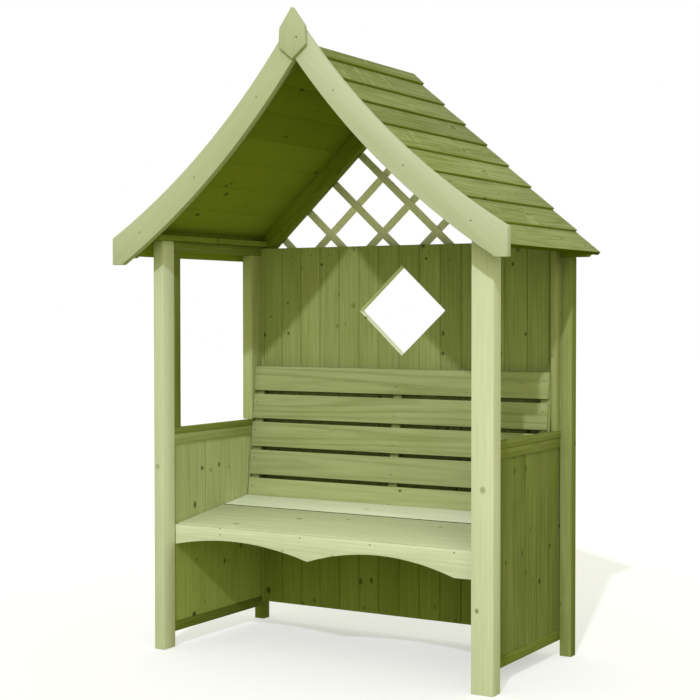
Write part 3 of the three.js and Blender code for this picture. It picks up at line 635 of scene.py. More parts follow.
def lay_grain(piece, along, through, seed, tint=None):
    """Writes where each point lies in its log, how dark the board is, and which faces are tinted."""
    lot = random.Random(seed)
    along, through = along.normalized(), through.normalized()
    across = through.cross(along).normalized()
    mesh = piece.data
    points = [vertex.co for vertex in mesh.vertices]
    middle = sum(points, Vector()) / len(points)
    heart = lot.uniform(HEART_NEAR, HEART_FAR) * lot.choice((-1, 1))
    beside = lot.uniform(-HEART_BESIDE, HEART_BESIDE)
    start = Vector((lot.uniform(0, LOG_LENGTH), beside, heart))
    grain = mesh.attributes.new("grain", "FLOAT_VECTOR", "POINT")
    for index, point in enumerate(points):
        away = point - middle
        grain.data[index].vector = start + Vector((away.dot(along), away.dot(across), away.dot(through)))
    tone = mesh.attributes.new("tone", "FLOAT", "POINT")
    shade = lot.random()
    tone.data.foreach_set("value", [shade] * len(points))
    cut = mesh.attributes.new("cut", "FLOAT", "FACE")
    rule = tint or (lambda normal: float(abs(normal.dot(along)) > END_FACING))
    cut.data.foreach_set("value", [rule(face.normal) for face in mesh.polygons])
    return piece


print("a heart lies", HEART_NEAR / MM, "to", HEART_FAR / MM, "mm from its board")

# %% [markdown]
# Fitting a piece
# A finished piece gets its wood, rides on the body of the frame, and takes the place of its solid. The
# calls could be written out for each piece, but there are sixty of them, so three functions keep them
# short. One fits any piece. The other two make a whole piece and fit it: squared timber that fills its
# solid's box, or timber sawn to its solid's shape.


# %% Fitting a piece
def fit_piece(piece, wood, *nodes, finish=None):
    """Gives a finished piece its wood, and puts it in the place of its solids."""
    piece.data.materials.clear()
    piece.data.materials.append(WOODS[finish or wood])
    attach(piece, "root")
    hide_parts(*nodes)
    return piece


def box_timber(node, wood, along, through, arris=ARRIS, finish=None, tint=None, snug=0.0):
    """Squared timber that fills the box of its solid, and closes the joint to a neighbour by snug."""
    low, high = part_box(node)
    high = high + Vector((snug, snug, 0))
    piece = timber(f"{node}_timber", high - low, (low + high) / 2, arris=arris)
    return fit_piece(lay_grain(piece, along, through, node, tint), wood, node, finish=finish)


def shaped_timber(node, wood, along, through, arris=ARRIS, finish=None, tint=None):
    """Timber sawn to the outline of its solid."""
    piece = sawn_to_shape(f"{node}_timber", node, arris)
    return fit_piece(lay_grain(piece, along, through, node, tint), wood, node, finish=finish)


print("solids to dress:", len(cad_nodes))

# %% [markdown]
# Posts, rails and sills
# Four posts carry everything. The front pair is stout, the rear pair slim, and rails, sills and stiles
# of lighter stuff make the side frames between them. Their solids could be copied and eased, but all
# are plain planed lengths, so a cube each with eased arrises is the whole shape. The front posts get a
# wider round than the rails, as bought posts have. A tint paints one face of the left front post paler,
# as light, and one face of the right rear post darker, as shade.

# %% Posts and rails
POST_ARRIS = 2.6 * MM
JOINT_ARRIS = 0.6 * MM  # of two lengths that are nailed side by side
SNUG = 0.6 * MM  # the right rear stile is nailed hard to its post, so no light comes between
FACING = 0.9  # a face that looks this much along a direction counts as looking that way
LIT_FACE_SHARE = 0.75  # how far one face of the left front post is painted paler, as light
# darker copies paint shade on the right sill rail and on the right eaves plate
RAIL_FINISH = {"left": "frame_timber", "right": "frame_shaded"}
EAVES_FINISH = {"left": "eaves", "right": "frame_deep_shade"}


def shaded_face(normal):
    """1 on faces that look to the right, where the right rear post is painted darker, as shade."""
    return float(normal.x > FACING)


def lit_face(normal):
    """Below 0 on the right face of the left front post, which is painted paler, as light."""
    return -LIT_FACE_SHARE * float(normal.x > FACING)


# the right face of the left front post is painted paler, as light
box_timber("post_front_left", "post_timber", Z_AXIS, Y_AXIS, POST_ARRIS, finish="post_left",
           tint=lit_face)
box_timber("post_front_right", "post_timber", Z_AXIS, Y_AXIS, POST_ARRIS)
# the rear left post gets the darkest copy, painted shade
box_timber("post_rear_left", "post_timber", Z_AXIS, Y_AXIS, ARRIS, finish="frame_deep_shade")
# the right face of the right rear post is painted darker, as shade
box_timber("post_rear_right", "post_timber", Z_AXIS, Y_AXIS, JOINT_ARRIS, finish="rear_post",
           tint=shaded_face)
for side in ("left", "right"):
    # the bottom rails get the darkest copy, painted shade
    box_timber(f"bottom_rail_{side}", "frame_timber", Y_AXIS, X_AXIS, finish="frame_deep_shade")
    box_timber(f"sill_rail_{side}", "frame_timber", Y_AXIS, X_AXIS, finish=RAIL_FINISH[side])
    # sill caps and top rails get a darker copy, painted shade
    box_timber(f"sill_cap_{side}", "frame_timber", Y_AXIS, Z_AXIS, finish="frame_shaded")
    box_timber(f"top_rail_{side}", "frame_timber", Y_AXIS, X_AXIS, finish="frame_shaded")
    box_timber(f"eaves_plate_{side}", "frame_timber", Y_AXIS, Z_AXIS, finish=EAVES_FINISH[side])
# the front left stile gets a darker copy, painted shade, and the rear left stile a paler one, painted light
box_timber("window_stile_front_left", "frame_timber", Z_AXIS, X_AXIS, finish="frame_shaded")
box_timber("window_stile_rear_left", "frame_timber", Z_AXIS, X_AXIS, finish="frame_lit")
box_timber("window_stile_front_right", "frame_timber", Z_AXIS, X_AXIS)
box_timber("window_stile_rear_right", "frame_timber", Z_AXIS, X_AXIS, JOINT_ARRIS, snug=SNUG)
box_timber("back_bottom_rail", "frame_timber", X_AXIS, Y_AXIS)

# %% [markdown]
# Matchboards
# The sides and the back are clad in matchboard: narrow boards with a tongue on one edge, a groove in
# the other and a small chamfer on each, so that the joints show as vee lines and stay closed when the
# wood shrinks. The panel could be one slab with lines scored in it. Here one board is modelled whole,
# with its chamfers, tongue and groove, and copied along the panel. The copies are trimmed where the
# panel ends, each gets a grain of its own, and then they are joined to one piece.

# %% One matchboard
JOINT_GAP = 0.4 * MM
TONGUE_LENGTH, TONGUE_INSET = 5 * MM, 1.2 * MM
GROOVE_SPARE = 0.6 * MM  # the groove is this much deeper than the tongue is long


def select_faces(mesh, chosen):
    """Selects, in edit mode, the faces that a rule chooses, with their edges."""
    editable = bmesh.from_edit_mesh(mesh)
    for item in [*editable.verts, *editable.edges, *editable.faces]:
        item.select = False
    for face in editable.faces:
        if chosen(face):
            face.select_set(True)
    bmesh.update_edit_mesh(mesh)


def matchboard(width, thickness, height, chamfer):
    """A board that stands on the floor from x = 0 to its width, with its back at y = 0."""
    board = timber("board", (width, thickness, height), (width / 2, thickness / 2, height / 2), arris=0)
    bpy.ops.object.mode_set(mode="EDIT")
    bpy.ops.mesh.select_mode(type="EDGE")
    bpy.ops.mesh.select_all(action="DESELECT")
    editable = bmesh.from_edit_mesh(board.data)
    for edge in editable.edges:
        first, second = (vertex.co for vertex in edge.verts)
        edge.select = abs(first.z - second.z) > height / 2
    bmesh.update_edit_mesh(board.data)
    bpy.ops.mesh.bevel(offset=chamfer, segments=1)
    bpy.ops.mesh.select_mode(type="FACE")
    for direction, reach in ((1, TONGUE_LENGTH), (-1, -TONGUE_LENGTH - GROOVE_SPARE)):
        select_faces(board.data, lambda face: face.normal.x * direction > FACING)
        bpy.ops.mesh.inset(thickness=TONGUE_INSET)
        move = reach * direction
        bpy.ops.mesh.extrude_region_move(TRANSFORM_OT_translate={"value": (move, 0, 0)})
    bpy.ops.object.mode_set(mode="OBJECT")
    return board


def trim(piece, place, keep):
    """Saws a piece off at a plane through a place, and keeps the side that a direction points to."""
    only(piece)
    bpy.ops.object.mode_set(mode="EDIT")
    bpy.ops.mesh.select_all(action="SELECT")
    bpy.ops.mesh.bisect(plane_co=place, plane_no=keep, use_fill=True, clear_inner=True)
    bpy.ops.object.mode_set(mode="OBJECT")
    return piece


def boarded_panel(name, start, end, first_joint, pitch, thickness, height, chamfer):
    """Boards side by side from start to end along X, standing at z = 0 with their backs at y = 0."""
    pattern = matchboard(pitch - JOINT_GAP, thickness, height, chamfer)
    boards = []
    left = first_joint
    while left < end - chamfer:
        if left + pitch > start + chamfer:
            board = bpy.data.objects.new(f"{name}_{len(boards)}", pattern.data.copy())
            bpy.context.scene.collection.objects.link(board)
            board.location = (left, 0, 0)
            settle(board)
            if left < start:
                trim(board, (start, 0, 0), (1, 0, 0))
            if left + pitch + TONGUE_LENGTH > end:
                trim(board, (end, 0, 0), (-1, 0, 0))
            boards.append(board)
        left += pitch
    bpy.data.objects.remove(pattern)
    return boards


print("a tongue is", TONGUE_LENGTH / MM, "mm long")

# %% [markdown]
# Side panels
# Each side panel stands in the frame between the bottom rail and the sill rail, in boards 88 mm wide
# counted from the back. It runs along Y and could be laid out so. But along X, as for the back panel,
# one function lays out all three panels, and the side panels are then turned a quarter.

# %% Side panels
SIDE_PITCH = 88 * MM  # from joint to joint
SIDE_CHAMFER = 2.4 * MM
# the left panel is painted paler, as light, and the right panel darker, as shade
SIDE_FINISH = {"left": "matchboard_lit", "right": "matchboard_shaded"}
SIDE_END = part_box("window_stile_rear_left")[1].y  # where the boards are counted from
LIT_BOARD_SHARE = 0.15  # the rear board of the right panel is painted a little paler, as light


def vee_or_end(normal):
    """1 on all faces but the two broad ones: dirt and damp darken the vees and the ends."""
    return float(abs(normal.y) < FACING)


def lit_rear_board(normal):
    """The same, but a little below 0 on the broad faces, which paints them paler, as light."""
    return vee_or_end(normal) or -LIT_BOARD_SHARE


def mark_inside(board):
    """Marks the faces that look to -Y, which is the inside of the back and of the left panel, for the shade
    painted under the seat.
    """
    inside = board.data.attributes.new("inside", "FLOAT", "FACE")
    inside.data.foreach_set("value", [float(face.normal.y < 0) for face in board.data.polygons])


def joined(name, pieces):
    """Several lengths of timber as one piece, each with its own grain."""
    only(pieces[0])
    for piece in pieces[1:]:
        piece.select_set(True)
    if len(pieces) > 1:
        bpy.ops.object.join()
    pieces[0].name = name
    return pieces[0]


def side_panel(side):
    """The boards of one side, laid out along X and then turned to run along Y."""
    node = f"side_boards_{side}"
    low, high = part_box(node)
    count = math.ceil((SIDE_END - low.y) / SIDE_PITCH)
    boards = boarded_panel(node, low.y, high.y, SIDE_END - count * SIDE_PITCH, SIDE_PITCH,
                           high.x - low.x, high.z - low.z, SIDE_CHAMFER)
    for board in boards:
        # the rear board of the right panel is painted paler, as light
        pale = side == "right" and board is boards[-1]
        lay_grain(board, Z_AXIS, Y_AXIS, board.name, lit_rear_board if pale else vee_or_end)
        mark_inside(board)
    panel = joined(f"{node}_timber", boards)
    panel.rotation_euler = (0, 0, math.radians(90))
    panel.location = (high.x, 0, low.z)
    settle(panel)
    return fit_piece(panel, "matchboard_timber", node, finish=SIDE_FINISH[side])


for side in ("left", "right"):
    print("side panel:", side_panel(side).name)

# %% [markdown]
# Back panel and its diamond window
# The back is boarded the same way, in boards 80.5 mm wide. Its diamond window is cut through the
# finished boards, as on the bench, by a square block turned on its corner. Each board could be drawn
# with its part of the slanting edge instead, but a cut keeps all edges in line. Its slanting faces are
# painted the palest of the panel, as light.

# %% Back panel
BACK_PITCH, BACK_SHIFT = 80.5 * MM, 11.5 * MM  # a joint lies this far to the left of the middle
BACK_CHAMFER = 2.4 * MM
DIAMOND_HALF_WIDTH, DIAMOND_HALF_HEIGHT = 169 * MM, 156 * MM
RIM_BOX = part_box("diamond_frame")
DIAMOND_CENTRE = (RIM_BOX[0] + RIM_BOX[1]) / 2
BLOCK_DEPTH = 200 * MM
REVEAL_SLANT = 0.3  # the window's edges look sideways, and up or down, by more than this


def diamond_block():
    """A block with the outline of the window, long enough to cut through the panel."""
    bpy.ops.object.select_all(action="DESELECT")
    bpy.ops.mesh.primitive_cylinder_add(vertices=4, radius=1, depth=1, location=DIAMOND_CENTRE,
                                        rotation=(math.radians(90), 0, 0))
    block = bpy.context.object
    block.scale = (DIAMOND_HALF_WIDTH, DIAMOND_HALF_HEIGHT, BLOCK_DEPTH)
    return settle(block)


def cut_away(piece, block):
    """Cuts a block out of a piece."""
    only(piece)
    cut = piece.modifiers.new("cut", "BOOLEAN")
    cut.operation = "DIFFERENCE"
    cut.solver = "EXACT"
    cut.object = block
    bpy.ops.object.modifier_apply(modifier="cut")


def window_reveal(normal):
    """-1 on the slanting faces round the window, which are painted pale, as light, and 1 in the vees and on the
    ends.
    """
    if min(abs(normal.x), abs(normal.z)) > REVEAL_SLANT:
        return -1.0
    return vee_or_end(normal)


def back_panel():
    """The boards of the back, with the window sawn out of those that it crosses."""
    low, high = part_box("back_boards")
    first = -BACK_SHIFT - BACK_PITCH * math.ceil(-low.x / BACK_PITCH)
    boards = boarded_panel("back_board", low.x, high.x, first, BACK_PITCH, high.y - low.y, high.z - low.z,
                           BACK_CHAMFER)
    block = diamond_block()
    for board in boards:
        board.location = (0, low.y, low.z)
        settle(board)
        reach = [vertex.co.x for vertex in board.data.vertices]
        if min(reach) < DIAMOND_HALF_WIDTH and max(reach) > -DIAMOND_HALF_WIDTH:
            cut_away(board, block)
        lay_grain(board, Z_AXIS, Y_AXIS, board.name, window_reveal)
        mark_inside(board)
    bpy.data.objects.remove(block)
    return fit_piece(joined("back_boards_timber", boards), "matchboard_timber", "back_boards")


print("back panel:", back_panel().name)

# %% [markdown]
# Frame of the diamond window
# Behind the panel a frame of four rails borders the window. They meet at mitres, so the grain turns at
# each corner. Four rails could be made and mitred one by one. Here the frame's shape is sawn apart at
# its four points, where the mitres are, and each part gets the grain of its own rail.


# %% Diamond frame
def quarter(piece, name, directions, along):
    """A copy of a piece trimmed by planes through the window's centre, with its own grain."""
    part = bpy.data.objects.new(name, piece.data.copy())
    bpy.context.scene.collection.objects.link(part)
    for direction in directions:
        trim(part, DIAMOND_CENTRE, direction)
    return lay_grain(part, along, Y_AXIS, name)


def diamond_frame():
    """The frame as four rails, one to each quarter of the window."""
    whole = sawn_to_shape("whole_frame", "diamond_frame")
    parts = []
    for x in (-1, 1):
        for z in (-1, 1):
            along = Vector((-x * DIAMOND_HALF_WIDTH, 0, z * DIAMOND_HALF_HEIGHT))
            parts.append(quarter(whole, f"diamond_rail_{len(parts)}", [(x, 0, 0), (0, 0, z)], along))
    bpy.data.objects.remove(whole)
    # the window frame gets the palest copy, painted light
    return fit_piece(joined("diamond_frame_timber", parts), "frame_timber", "diamond_frame",
                     finish="diamond_frame")


print("window frame:", diamond_frame().name)

# %% [markdown]
# Seat
# Two wide boards make the bench, with a thin open joint between them, and rise towards the back so
# that the sitter settles against the slats. They lie on bearers, behind an apron with two shallow
# arches. Tilted cubes would do for the boards, but not for the apron, so all are sawn to the shape of
# their solids. The arrises are eased by little, so that the open joint stays a crisp dark line.

# %% Seat boards, bearers and apron
SEAT_ARRIS, APRON_ARRIS = 1.5 * MM, 2 * MM
SEAT_SLOPE = Vector((0, -0.1292, 0.9916))  # square to the boards, which rise by 7.4 degrees to the back
EDGE_SHARE = 0.45  # the edge and its round look at least this much into the joint


def edge_that_looks(sign):
    """1 on the board's edge in the open joint, which is painted dark, as shade."""
    return lambda normal: float(normal.y * sign > EDGE_SHARE)


# the edges in the open joint are painted dark, as shade
shaped_timber("seat_board_front", "seat_timber", X_AXIS, SEAT_SLOPE, SEAT_ARRIS, tint=edge_that_looks(1))
shaped_timber("seat_board_rear", "seat_timber", X_AXIS, SEAT_SLOPE, SEAT_ARRIS, "seat_lit",
              edge_that_looks(-1))
shaped_timber("seat_apron", "seat_timber", X_AXIS, Y_AXIS, APRON_ARRIS, "apron")
shaped_timber("seat_bearer_rear", "frame_timber", X_AXIS, Y_AXIS)
for side in ("left", "right"):
    shaped_timber(f"seat_bearer_{side}", "frame_timber", Y_AXIS, X_AXIS)

# %% [markdown]
# Backrest
# Five slats on three battens lean back by a few degrees. The slats could be built upright and leaned
# together. Here each is a cube at its size, tilted about its own middle, with eased arrises, so it can
# be made by itself. The solid's box gives the middle and the length, and the width and thickness are
# those of the board before it was tilted. The battens are sawn to the shape of their solids.

# %% Slats and battens
LEAN = math.radians(6.5)
SLATS = range(1, 6)
SLAT_WIDTH, SLAT_THICKNESS, SLAT_ARRIS = 88.5 * MM, 16 * MM, 2.2 * MM
SLAT_EDGE = 0.6  # a long edge and its round look at least this much up or down the back
UPPER_SLATS = 3  # these are a little darker than the two below
BACK_FACE = Vector((0, -math.cos(LEAN), math.sin(LEAN)))
UP_THE_BACK = Vector((0, math.sin(LEAN), math.cos(LEAN)))


def slat_edge(normal):
    """1 on the long edges of a slat, which are painted dark, as shade, in the narrow gaps."""
    return float(abs(normal.dot(UP_THE_BACK)) > SLAT_EDGE)


# the long edges of each slat are painted dark, as shade
for i in SLATS:
    low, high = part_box(f"back_slat_{i}")
    size = (high.x - low.x, SLAT_THICKNESS, SLAT_WIDTH)
    slat = timber(f"back_slat_{i}_timber", size, (low + high) / 2, (-LEAN, 0, 0), SLAT_ARRIS)
    fit_piece(lay_grain(slat, X_AXIS, BACK_FACE, f"slat {i}", slat_edge), "slat_timber", f"back_slat_{i}",
              finish="slat_upper" if i <= UPPER_SLATS else None)
for side in ("left", "middle", "right"):
    shaped_timber(f"back_batten_{side}", "frame_timber", UP_THE_BACK, BACK_FACE)
print("slats lean by", round(math.degrees(LEAN), 1), "degrees")

# %% [markdown]
# Roof
# Eight lapped boards a side run from gable to gable. Each is sawn thin at the top and thick at the
# bottom, with a rebate that sits over the board below. They could be cut from cubes, but the taper and
# the rebates come with the solids. Sawn stuff is left rougher than planed, so its arrises are hardly
# eased. The edge and underside of a board are painted a deeper green than its top, as shade.

# %% Roof boards
PITCH = math.radians(42.5)
ROOF_ARRIS = 1.2 * MM
SIDES = ((-1, "left"), (1, "right"))
COURSES = range(1, 9)  # from the eaves up
LOWER_COURSES = 5
TOP_SHARE = 0.5  # a face that looks less than this out of the roof is an edge or the underside


def roof_face(sign):
    """The direction out of the left (-1) or the right (1) roof plane."""
    return Vector((sign * math.sin(PITCH), 0, math.cos(PITCH)))


def down_the_roof(sign):
    """The way that water runs on that side."""
    return Vector((sign * math.cos(PITCH), 0, -math.sin(PITCH)))


def under_the_roof(sign):
    """1 on faces that do not look out of the roof, which are painted a deeper green, as shade."""
    return lambda normal: float(normal.dot(roof_face(sign)) < TOP_SHARE)


def roof_finish(side, course):
    """The right eaves board is painted dark below, as shade, and the upper boards are a little darker."""
    if course == 1 and side == "right":
        return "roof_eaves"
    return "roof_upper" if course > LOWER_COURSES else "roof_timber"


# the edges and undersides of the roof boards are painted a deeper green, as shade
for sign, side in SIDES:
    for course in COURSES:
        shaped_timber(f"roof_board_{side}_{course}", "roof_timber", Y_AXIS, roof_face(sign), ROOF_ARRIS,
                      roof_finish(side, course), under_the_roof(sign))
print("roof boards:", len(SIDES) * len(COURSES))

# %% [markdown]
# Ridge cap
# A cap of two narrow boards closes the ridge. They meet in the middle, over the ridge, and have one
# solid. It could be left whole, but then one grain would run round the corner. So two copies of it are
# sawn apart there, and each half gets its own grain. The front gable frame is halved the same way.


# %% Ridge cap
def halves(node, name, wood, along_of, finish=None, tint_of=None):
    """A piece of two boards that meet in the middle of the width, each with its own grain."""
    parts = []
    for sign in (-1, 1):
        part = sawn_to_shape(f"{name}_{sign}", node, ROOF_ARRIS)
        trim(part, (0, 0, 0), (sign, 0, 0))
        tint = tint_of(sign) if tint_of else None
        parts.append(lay_grain(part, along_of(sign), roof_face(sign), part.name, tint))
    return fit_piece(joined(name, parts), wood, node, finish=finish)


ridge_cap = halves("ridge_cap", "ridge_cap_timber", "roof_timber", lambda sign: Y_AXIS, "ridge",
                   under_the_roof)
print("ridge:", ridge_cap.name)

# %% [markdown]
# Gable frames
# Under the boards, a pair of rafters stands at each gable. The rear pair is deep and has a tie across
# its foot, which closes the panel at the top. Each frame could be put together from its lengths, mitred
# to fit. Here its outline is sawn apart at the ridge and along the tie, so that all joints close, the
# grain climbs each rafter, and it runs level in the tie.

# %% Gable frames
TIE_DEPTH = 50 * MM
TIE_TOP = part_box("gable_frame_rear")[0].z + TIE_DEPTH
SAW_CUT = 0.15 * MM  # the saw keeps off the tie's own top face, so that each cut closes
halves("gable_frame_front", "gable_frame_front_timber", "rafter_timber", down_the_roof)


def rear_gable():
    """The rear frame as two rafters and a tie."""
    parts = []
    for sign in (-1, 1):
        rafter = sawn_to_shape(f"rear_rafter_{sign}", "gable_frame_rear", ROOF_ARRIS)
        trim(rafter, (0, 0, 0), (sign, 0, 0))
        trim(rafter, (0, 0, TIE_TOP + SAW_CUT), (0, 0, 1))
        parts.append(lay_grain(rafter, down_the_roof(sign), Y_AXIS, rafter.name))
    tie = sawn_to_shape("rear_tie", "gable_frame_rear", ROOF_ARRIS)
    trim(tie, (0, 0, TIE_TOP - SAW_CUT), (0, 0, -1))
    parts.append(lay_grain(tie, X_AXIS, Y_AXIS, "rear tie"))
    return fit_piece(joined("gable_frame_rear_timber", parts), "rafter_timber", "gable_frame_rear")


print("gable frame:", rear_gable().name)

# %% [markdown]
# Trellis
# The rear gable is filled with a lattice of slim slats, laid in two crossing layers and cut off where
# they lie on the frame. It could be a flat sheet with holes, but the two layers throw small shadows on
# each other, which tell the eye that it is nailed up of sticks. So each slat is modelled by itself, and
# sawn off by the three planes of the frame.

# %% Trellis slats
STICK_WIDTH, STICK_THICKNESS, STICK_ARRIS = 26 * MM, 8 * MM, 1.2 * MM
HALVING = 0.5 * MM  # how far one layer is let into the other
HALF_PITCH, HALF_RISE = 107 * MM, 98.3 * MM  # half a diamond of the lattice
RAFTER_DEPTH = 60 * MM
TRELLIS_LAP = 30 * MM  # how much of the rafters and the tie the trellis covers
CROSSING_DROP = 434 * MM  # from the ridge down to the row of crossings that the slats are set out from
STICK_STEPS = range(-4, 5)
LONG_STICK = 1600 * MM  # before it is sawn off
TRELLIS_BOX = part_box("gable_trellis")
RIDGE_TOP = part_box("gable_frame_rear")[1].z
CROSS_ANGLE = math.atan2(HALF_RISE, HALF_PITCH)
SHORTEST_STICK = 60 * MM  # what is shorter falls away as a chip


def trellis_stick(step, direction, middle_y):
    """One slat of the trellis in a list, or none where only a chip would be left."""
    centre = Vector((step * 2 * HALF_PITCH, middle_y, RIDGE_TOP - CROSSING_DROP))
    stick = timber(f"stick_{step}_{direction}", (LONG_STICK, STICK_THICKNESS, STICK_WIDTH), centre,
                   (0, -direction * CROSS_ANGLE, 0), STICK_ARRIS)
    rafter_line = (0, 0, RIDGE_TOP - (RAFTER_DEPTH - TRELLIS_LAP) / math.cos(PITCH))
    for sign in (-1, 1):
        trim(stick, rafter_line, -roof_face(sign))
    trim(stick, (0, 0, TIE_TOP - TRELLIS_LAP), Z_AXIS)
    along = Vector((math.cos(CROSS_ANGLE), 0, direction * math.sin(CROSS_ANGLE)))
    reach = [vertex.co.dot(along) for vertex in stick.data.vertices]
    if not reach or max(reach) - min(reach) < SHORTEST_STICK:
        bpy.data.objects.remove(stick)
        return []
    return [lay_grain(stick, along, Y_AXIS, stick.name)]


front_layer = TRELLIS_BOX[0].y + STICK_THICKNESS / 2
rear_layer = front_layer + STICK_THICKNESS - HALVING
sticks = []
for step in STICK_STEPS:
    sticks += trellis_stick(step, -1, front_layer)
    sticks += trellis_stick(step, 1, rear_layer)
print("trellis sticks:", len(sticks))
fit_piece(joined("gable_trellis_timber", sticks), "trellis_timber", "gable_trellis")

# %% [markdown]
# Bargeboards and finial
# Two boards, sawn to a long sweep, close the front of the roof. They meet in a plumb joint at the top,
# and a kite-shaped plate covers it. The sweep could be drawn anew as a curve, but it comes with the
# solids. These are among the brightest and smoothest pieces, planed and sanded, so their arrises are
# eased well. In the plate a punch leaves a small round hole, in which its nail will sit.

# %% Bargeboards and finial
BARGE_ARRIS = 2.4 * MM
for sign, side in SIDES:
    shaped_timber(f"bargeboard_{side}", "barge_timber", down_the_roof(sign), Y_AXIS, BARGE_ARRIS,
                  "barge_left" if side == "left" else None)
NAIL_BESIDE, NAIL_HEIGHT = 16 * MM, 1966 * MM  # the nail sits a little to the right of the middle
HOLE_RADIUS, HOLE_DEPTH = 3.6 * MM, 1.2 * MM
finial = sawn_to_shape("finial_plate_timber", "finial_plate", BARGE_ARRIS)
FINIAL_NAIL = Vector((NAIL_BESIDE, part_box("finial_plate")[0].y, NAIL_HEIGHT))
bpy.ops.object.select_all(action="DESELECT")
bpy.ops.mesh.primitive_cylinder_add(vertices=16, radius=HOLE_RADIUS, depth=2 * HOLE_DEPTH,
                                    location=FINIAL_NAIL, rotation=(math.radians(90), 0, 0))
punch = settle(bpy.context.object)
cut_away(finial, punch)
bpy.data.objects.remove(punch)
lay_grain(finial, Z_AXIS, Y_AXIS, "finial_plate")
fit_piece(finial, "barge_timber", "finial_plate", finish="barge_left")

# %% [markdown]
# Nails and screws
# Nails hold the boards and screws the slats, the seat and the apron. Only their heads show, as small
# dark dots in rows over the battens, rails and rafters. They could be painted into the wood, but then a
# row would not know where its board lies. One flat head is modelled, with an eased rim, and copied to
# each place, turned to look out of its board. Outdoors the steel goes dull, almost the colour of the
# knots. In the finial plate the nail is set below the wood with a punch, so there it sits in its hole.

# %% Nail heads
NAIL_RADIUS, NAIL_PROUD, NAIL_DEPTH = 2.5 * MM, 0.25 * MM, 1.0 * MM
STEEL_SPECK = 900.0  # dull specks of 1 mm
STEEL_BRIGHT, STEEL_DULL = 0.45, 0.75  # roughness
STEEL_METAL = 0.8  # not quite bare metal, because it has a skin of oxide


def dulled_steel():
    """Steel that the weather dulled, in specks, to a greenish grey almost as dark as a knot."""
    material = bpy.data.materials.new("weathered_steel_nails")
    tree = new_tree(material)
    place = add_node(tree, "ShaderNodeTexCoord").outputs["Object"]
    specks = add_node(tree, "ShaderNodeTexNoise", {"Vector": place, "Scale": STEEL_SPECK, "Detail": 2.0})
    colour = add_node(tree, "ShaderNodeMix",
                      {0: specks.outputs[0], 6: linear("#454C2C"), 7: linear("#767C58")}, data_type="RGBA")
    rough = add_node(tree, "ShaderNodeMapRange",
                     {"Value": specks.outputs[0], 3: STEEL_BRIGHT, 4: STEEL_DULL})
    steel = add_node(tree, "ShaderNodeBsdfPrincipled",
                     {"Base Color": colour.outputs[2], "Roughness": rough.outputs[0],
                      "Metallic": STEEL_METAL})
    add_node(tree, "ShaderNodeOutputMaterial", {"Surface": steel.outputs[0]})
    return material


def nail_head():
    """A flat head that looks along +Z, with the wood's surface at z = 0."""
    bpy.ops.object.select_all(action="DESELECT")
    thickness = NAIL_PROUD + NAIL_DEPTH
    bpy.ops.mesh.primitive_cylinder_add(vertices=12, radius=NAIL_RADIUS, depth=thickness,
                                        location=(0, 0, NAIL_PROUD - thickness / 2))
    head = settle(bpy.context.object)
    bpy.ops.object.mode_set(mode="EDIT")
    bpy.ops.mesh.select_mode(type="FACE")
    select_faces(head.data, lambda face: face.normal.z > FACING)
    bpy.ops.mesh.bevel(offset=NAIL_PROUD, segments=1)
    bpy.ops.object.mode_set(mode="OBJECT")
    return head


STEEL = dulled_steel()
PATTERN_HEAD = nail_head()


def fasten(name, spots):
    """One piece of all the heads at those places; each spot is a place and the way it looks."""
    heads = []
    for place, out in spots:
        head = bpy.data.objects.new(f"{name}_{len(heads)}", PATTERN_HEAD.data.copy())
        bpy.context.scene.collection.objects.link(head)
        turn = Vector(out).to_track_quat("Z", "Y").to_matrix().to_4x4()
        head.data.transform(turn)
        head.location = place
        heads.append(settle(head))
    piece = joined(name, heads)
    piece.data.materials.append(STEEL)
    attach(piece, "root")
    return piece


print("a head is", round(2 * NAIL_RADIUS / MM, 1), "mm across")

# %% [markdown]
# Nails in the panels
# Each matchboard is nailed once at the top and once at the bottom, in its middle. A ruled row would
# look like a machine's work. In the back panel, which the camera sees from near, each nail strays by a
# few millimetres, as a hand sets it.

# %% Nails in the panels
FRONT = Vector((0, -1, 0))
TOP_ROW_DROP, LOW_ROW_RISE = 32 * MM, 14 * MM
NAIL_STRAY = 9 * MM  # sideways, and half as much up or down
low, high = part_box("back_boards")
strays = random.Random("back panel")
spots = []
joint = -BACK_SHIFT - BACK_PITCH * math.floor((high.x - BACK_PITCH) / BACK_PITCH)
while joint + BACK_PITCH < high.x:
    for z in (high.z - TOP_ROW_DROP, low.z + LOW_ROW_RISE):
        x = joint + BACK_PITCH / 2 + strays.uniform(-NAIL_STRAY, NAIL_STRAY)
        spots.append(((x, low.y, z + strays.uniform(-NAIL_STRAY, NAIL_STRAY) / 2), FRONT))
    joint += BACK_PITCH
print("back panel:", len(spots), "nails in", fasten("nails_back_panel", spots).name)

SIDE_ROW = 14 * MM  # from the panel's top and foot
for sign, side in SIDES:
    low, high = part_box(f"side_boards_{side}")
    face = low.x if sign < 0 else high.x
    spots = []
    middle = SIDE_END - SIDE_PITCH / 2
    while middle > low.y + SIDE_ROW:
        spots += [((face, middle, z), (sign, 0, 0)) for z in (low.z + SIDE_ROW, high.z - SIDE_ROW)]
        middle -= SIDE_PITCH
    print(side, "panel:", len(spots), "nails in", fasten(f"nails_side_{side}", spots).name)

# %% [markdown]
# Screws in the backrest, seat and apron
# Screws go where a board crosses what carries it: a slat its batten, a seat board its bearer. They
# could be placed by number alone, but then they would miss when a size changes. So their places are
# worked out from the boxes of the two pieces. Only the apron's screws are listed one by one, as in the picture.

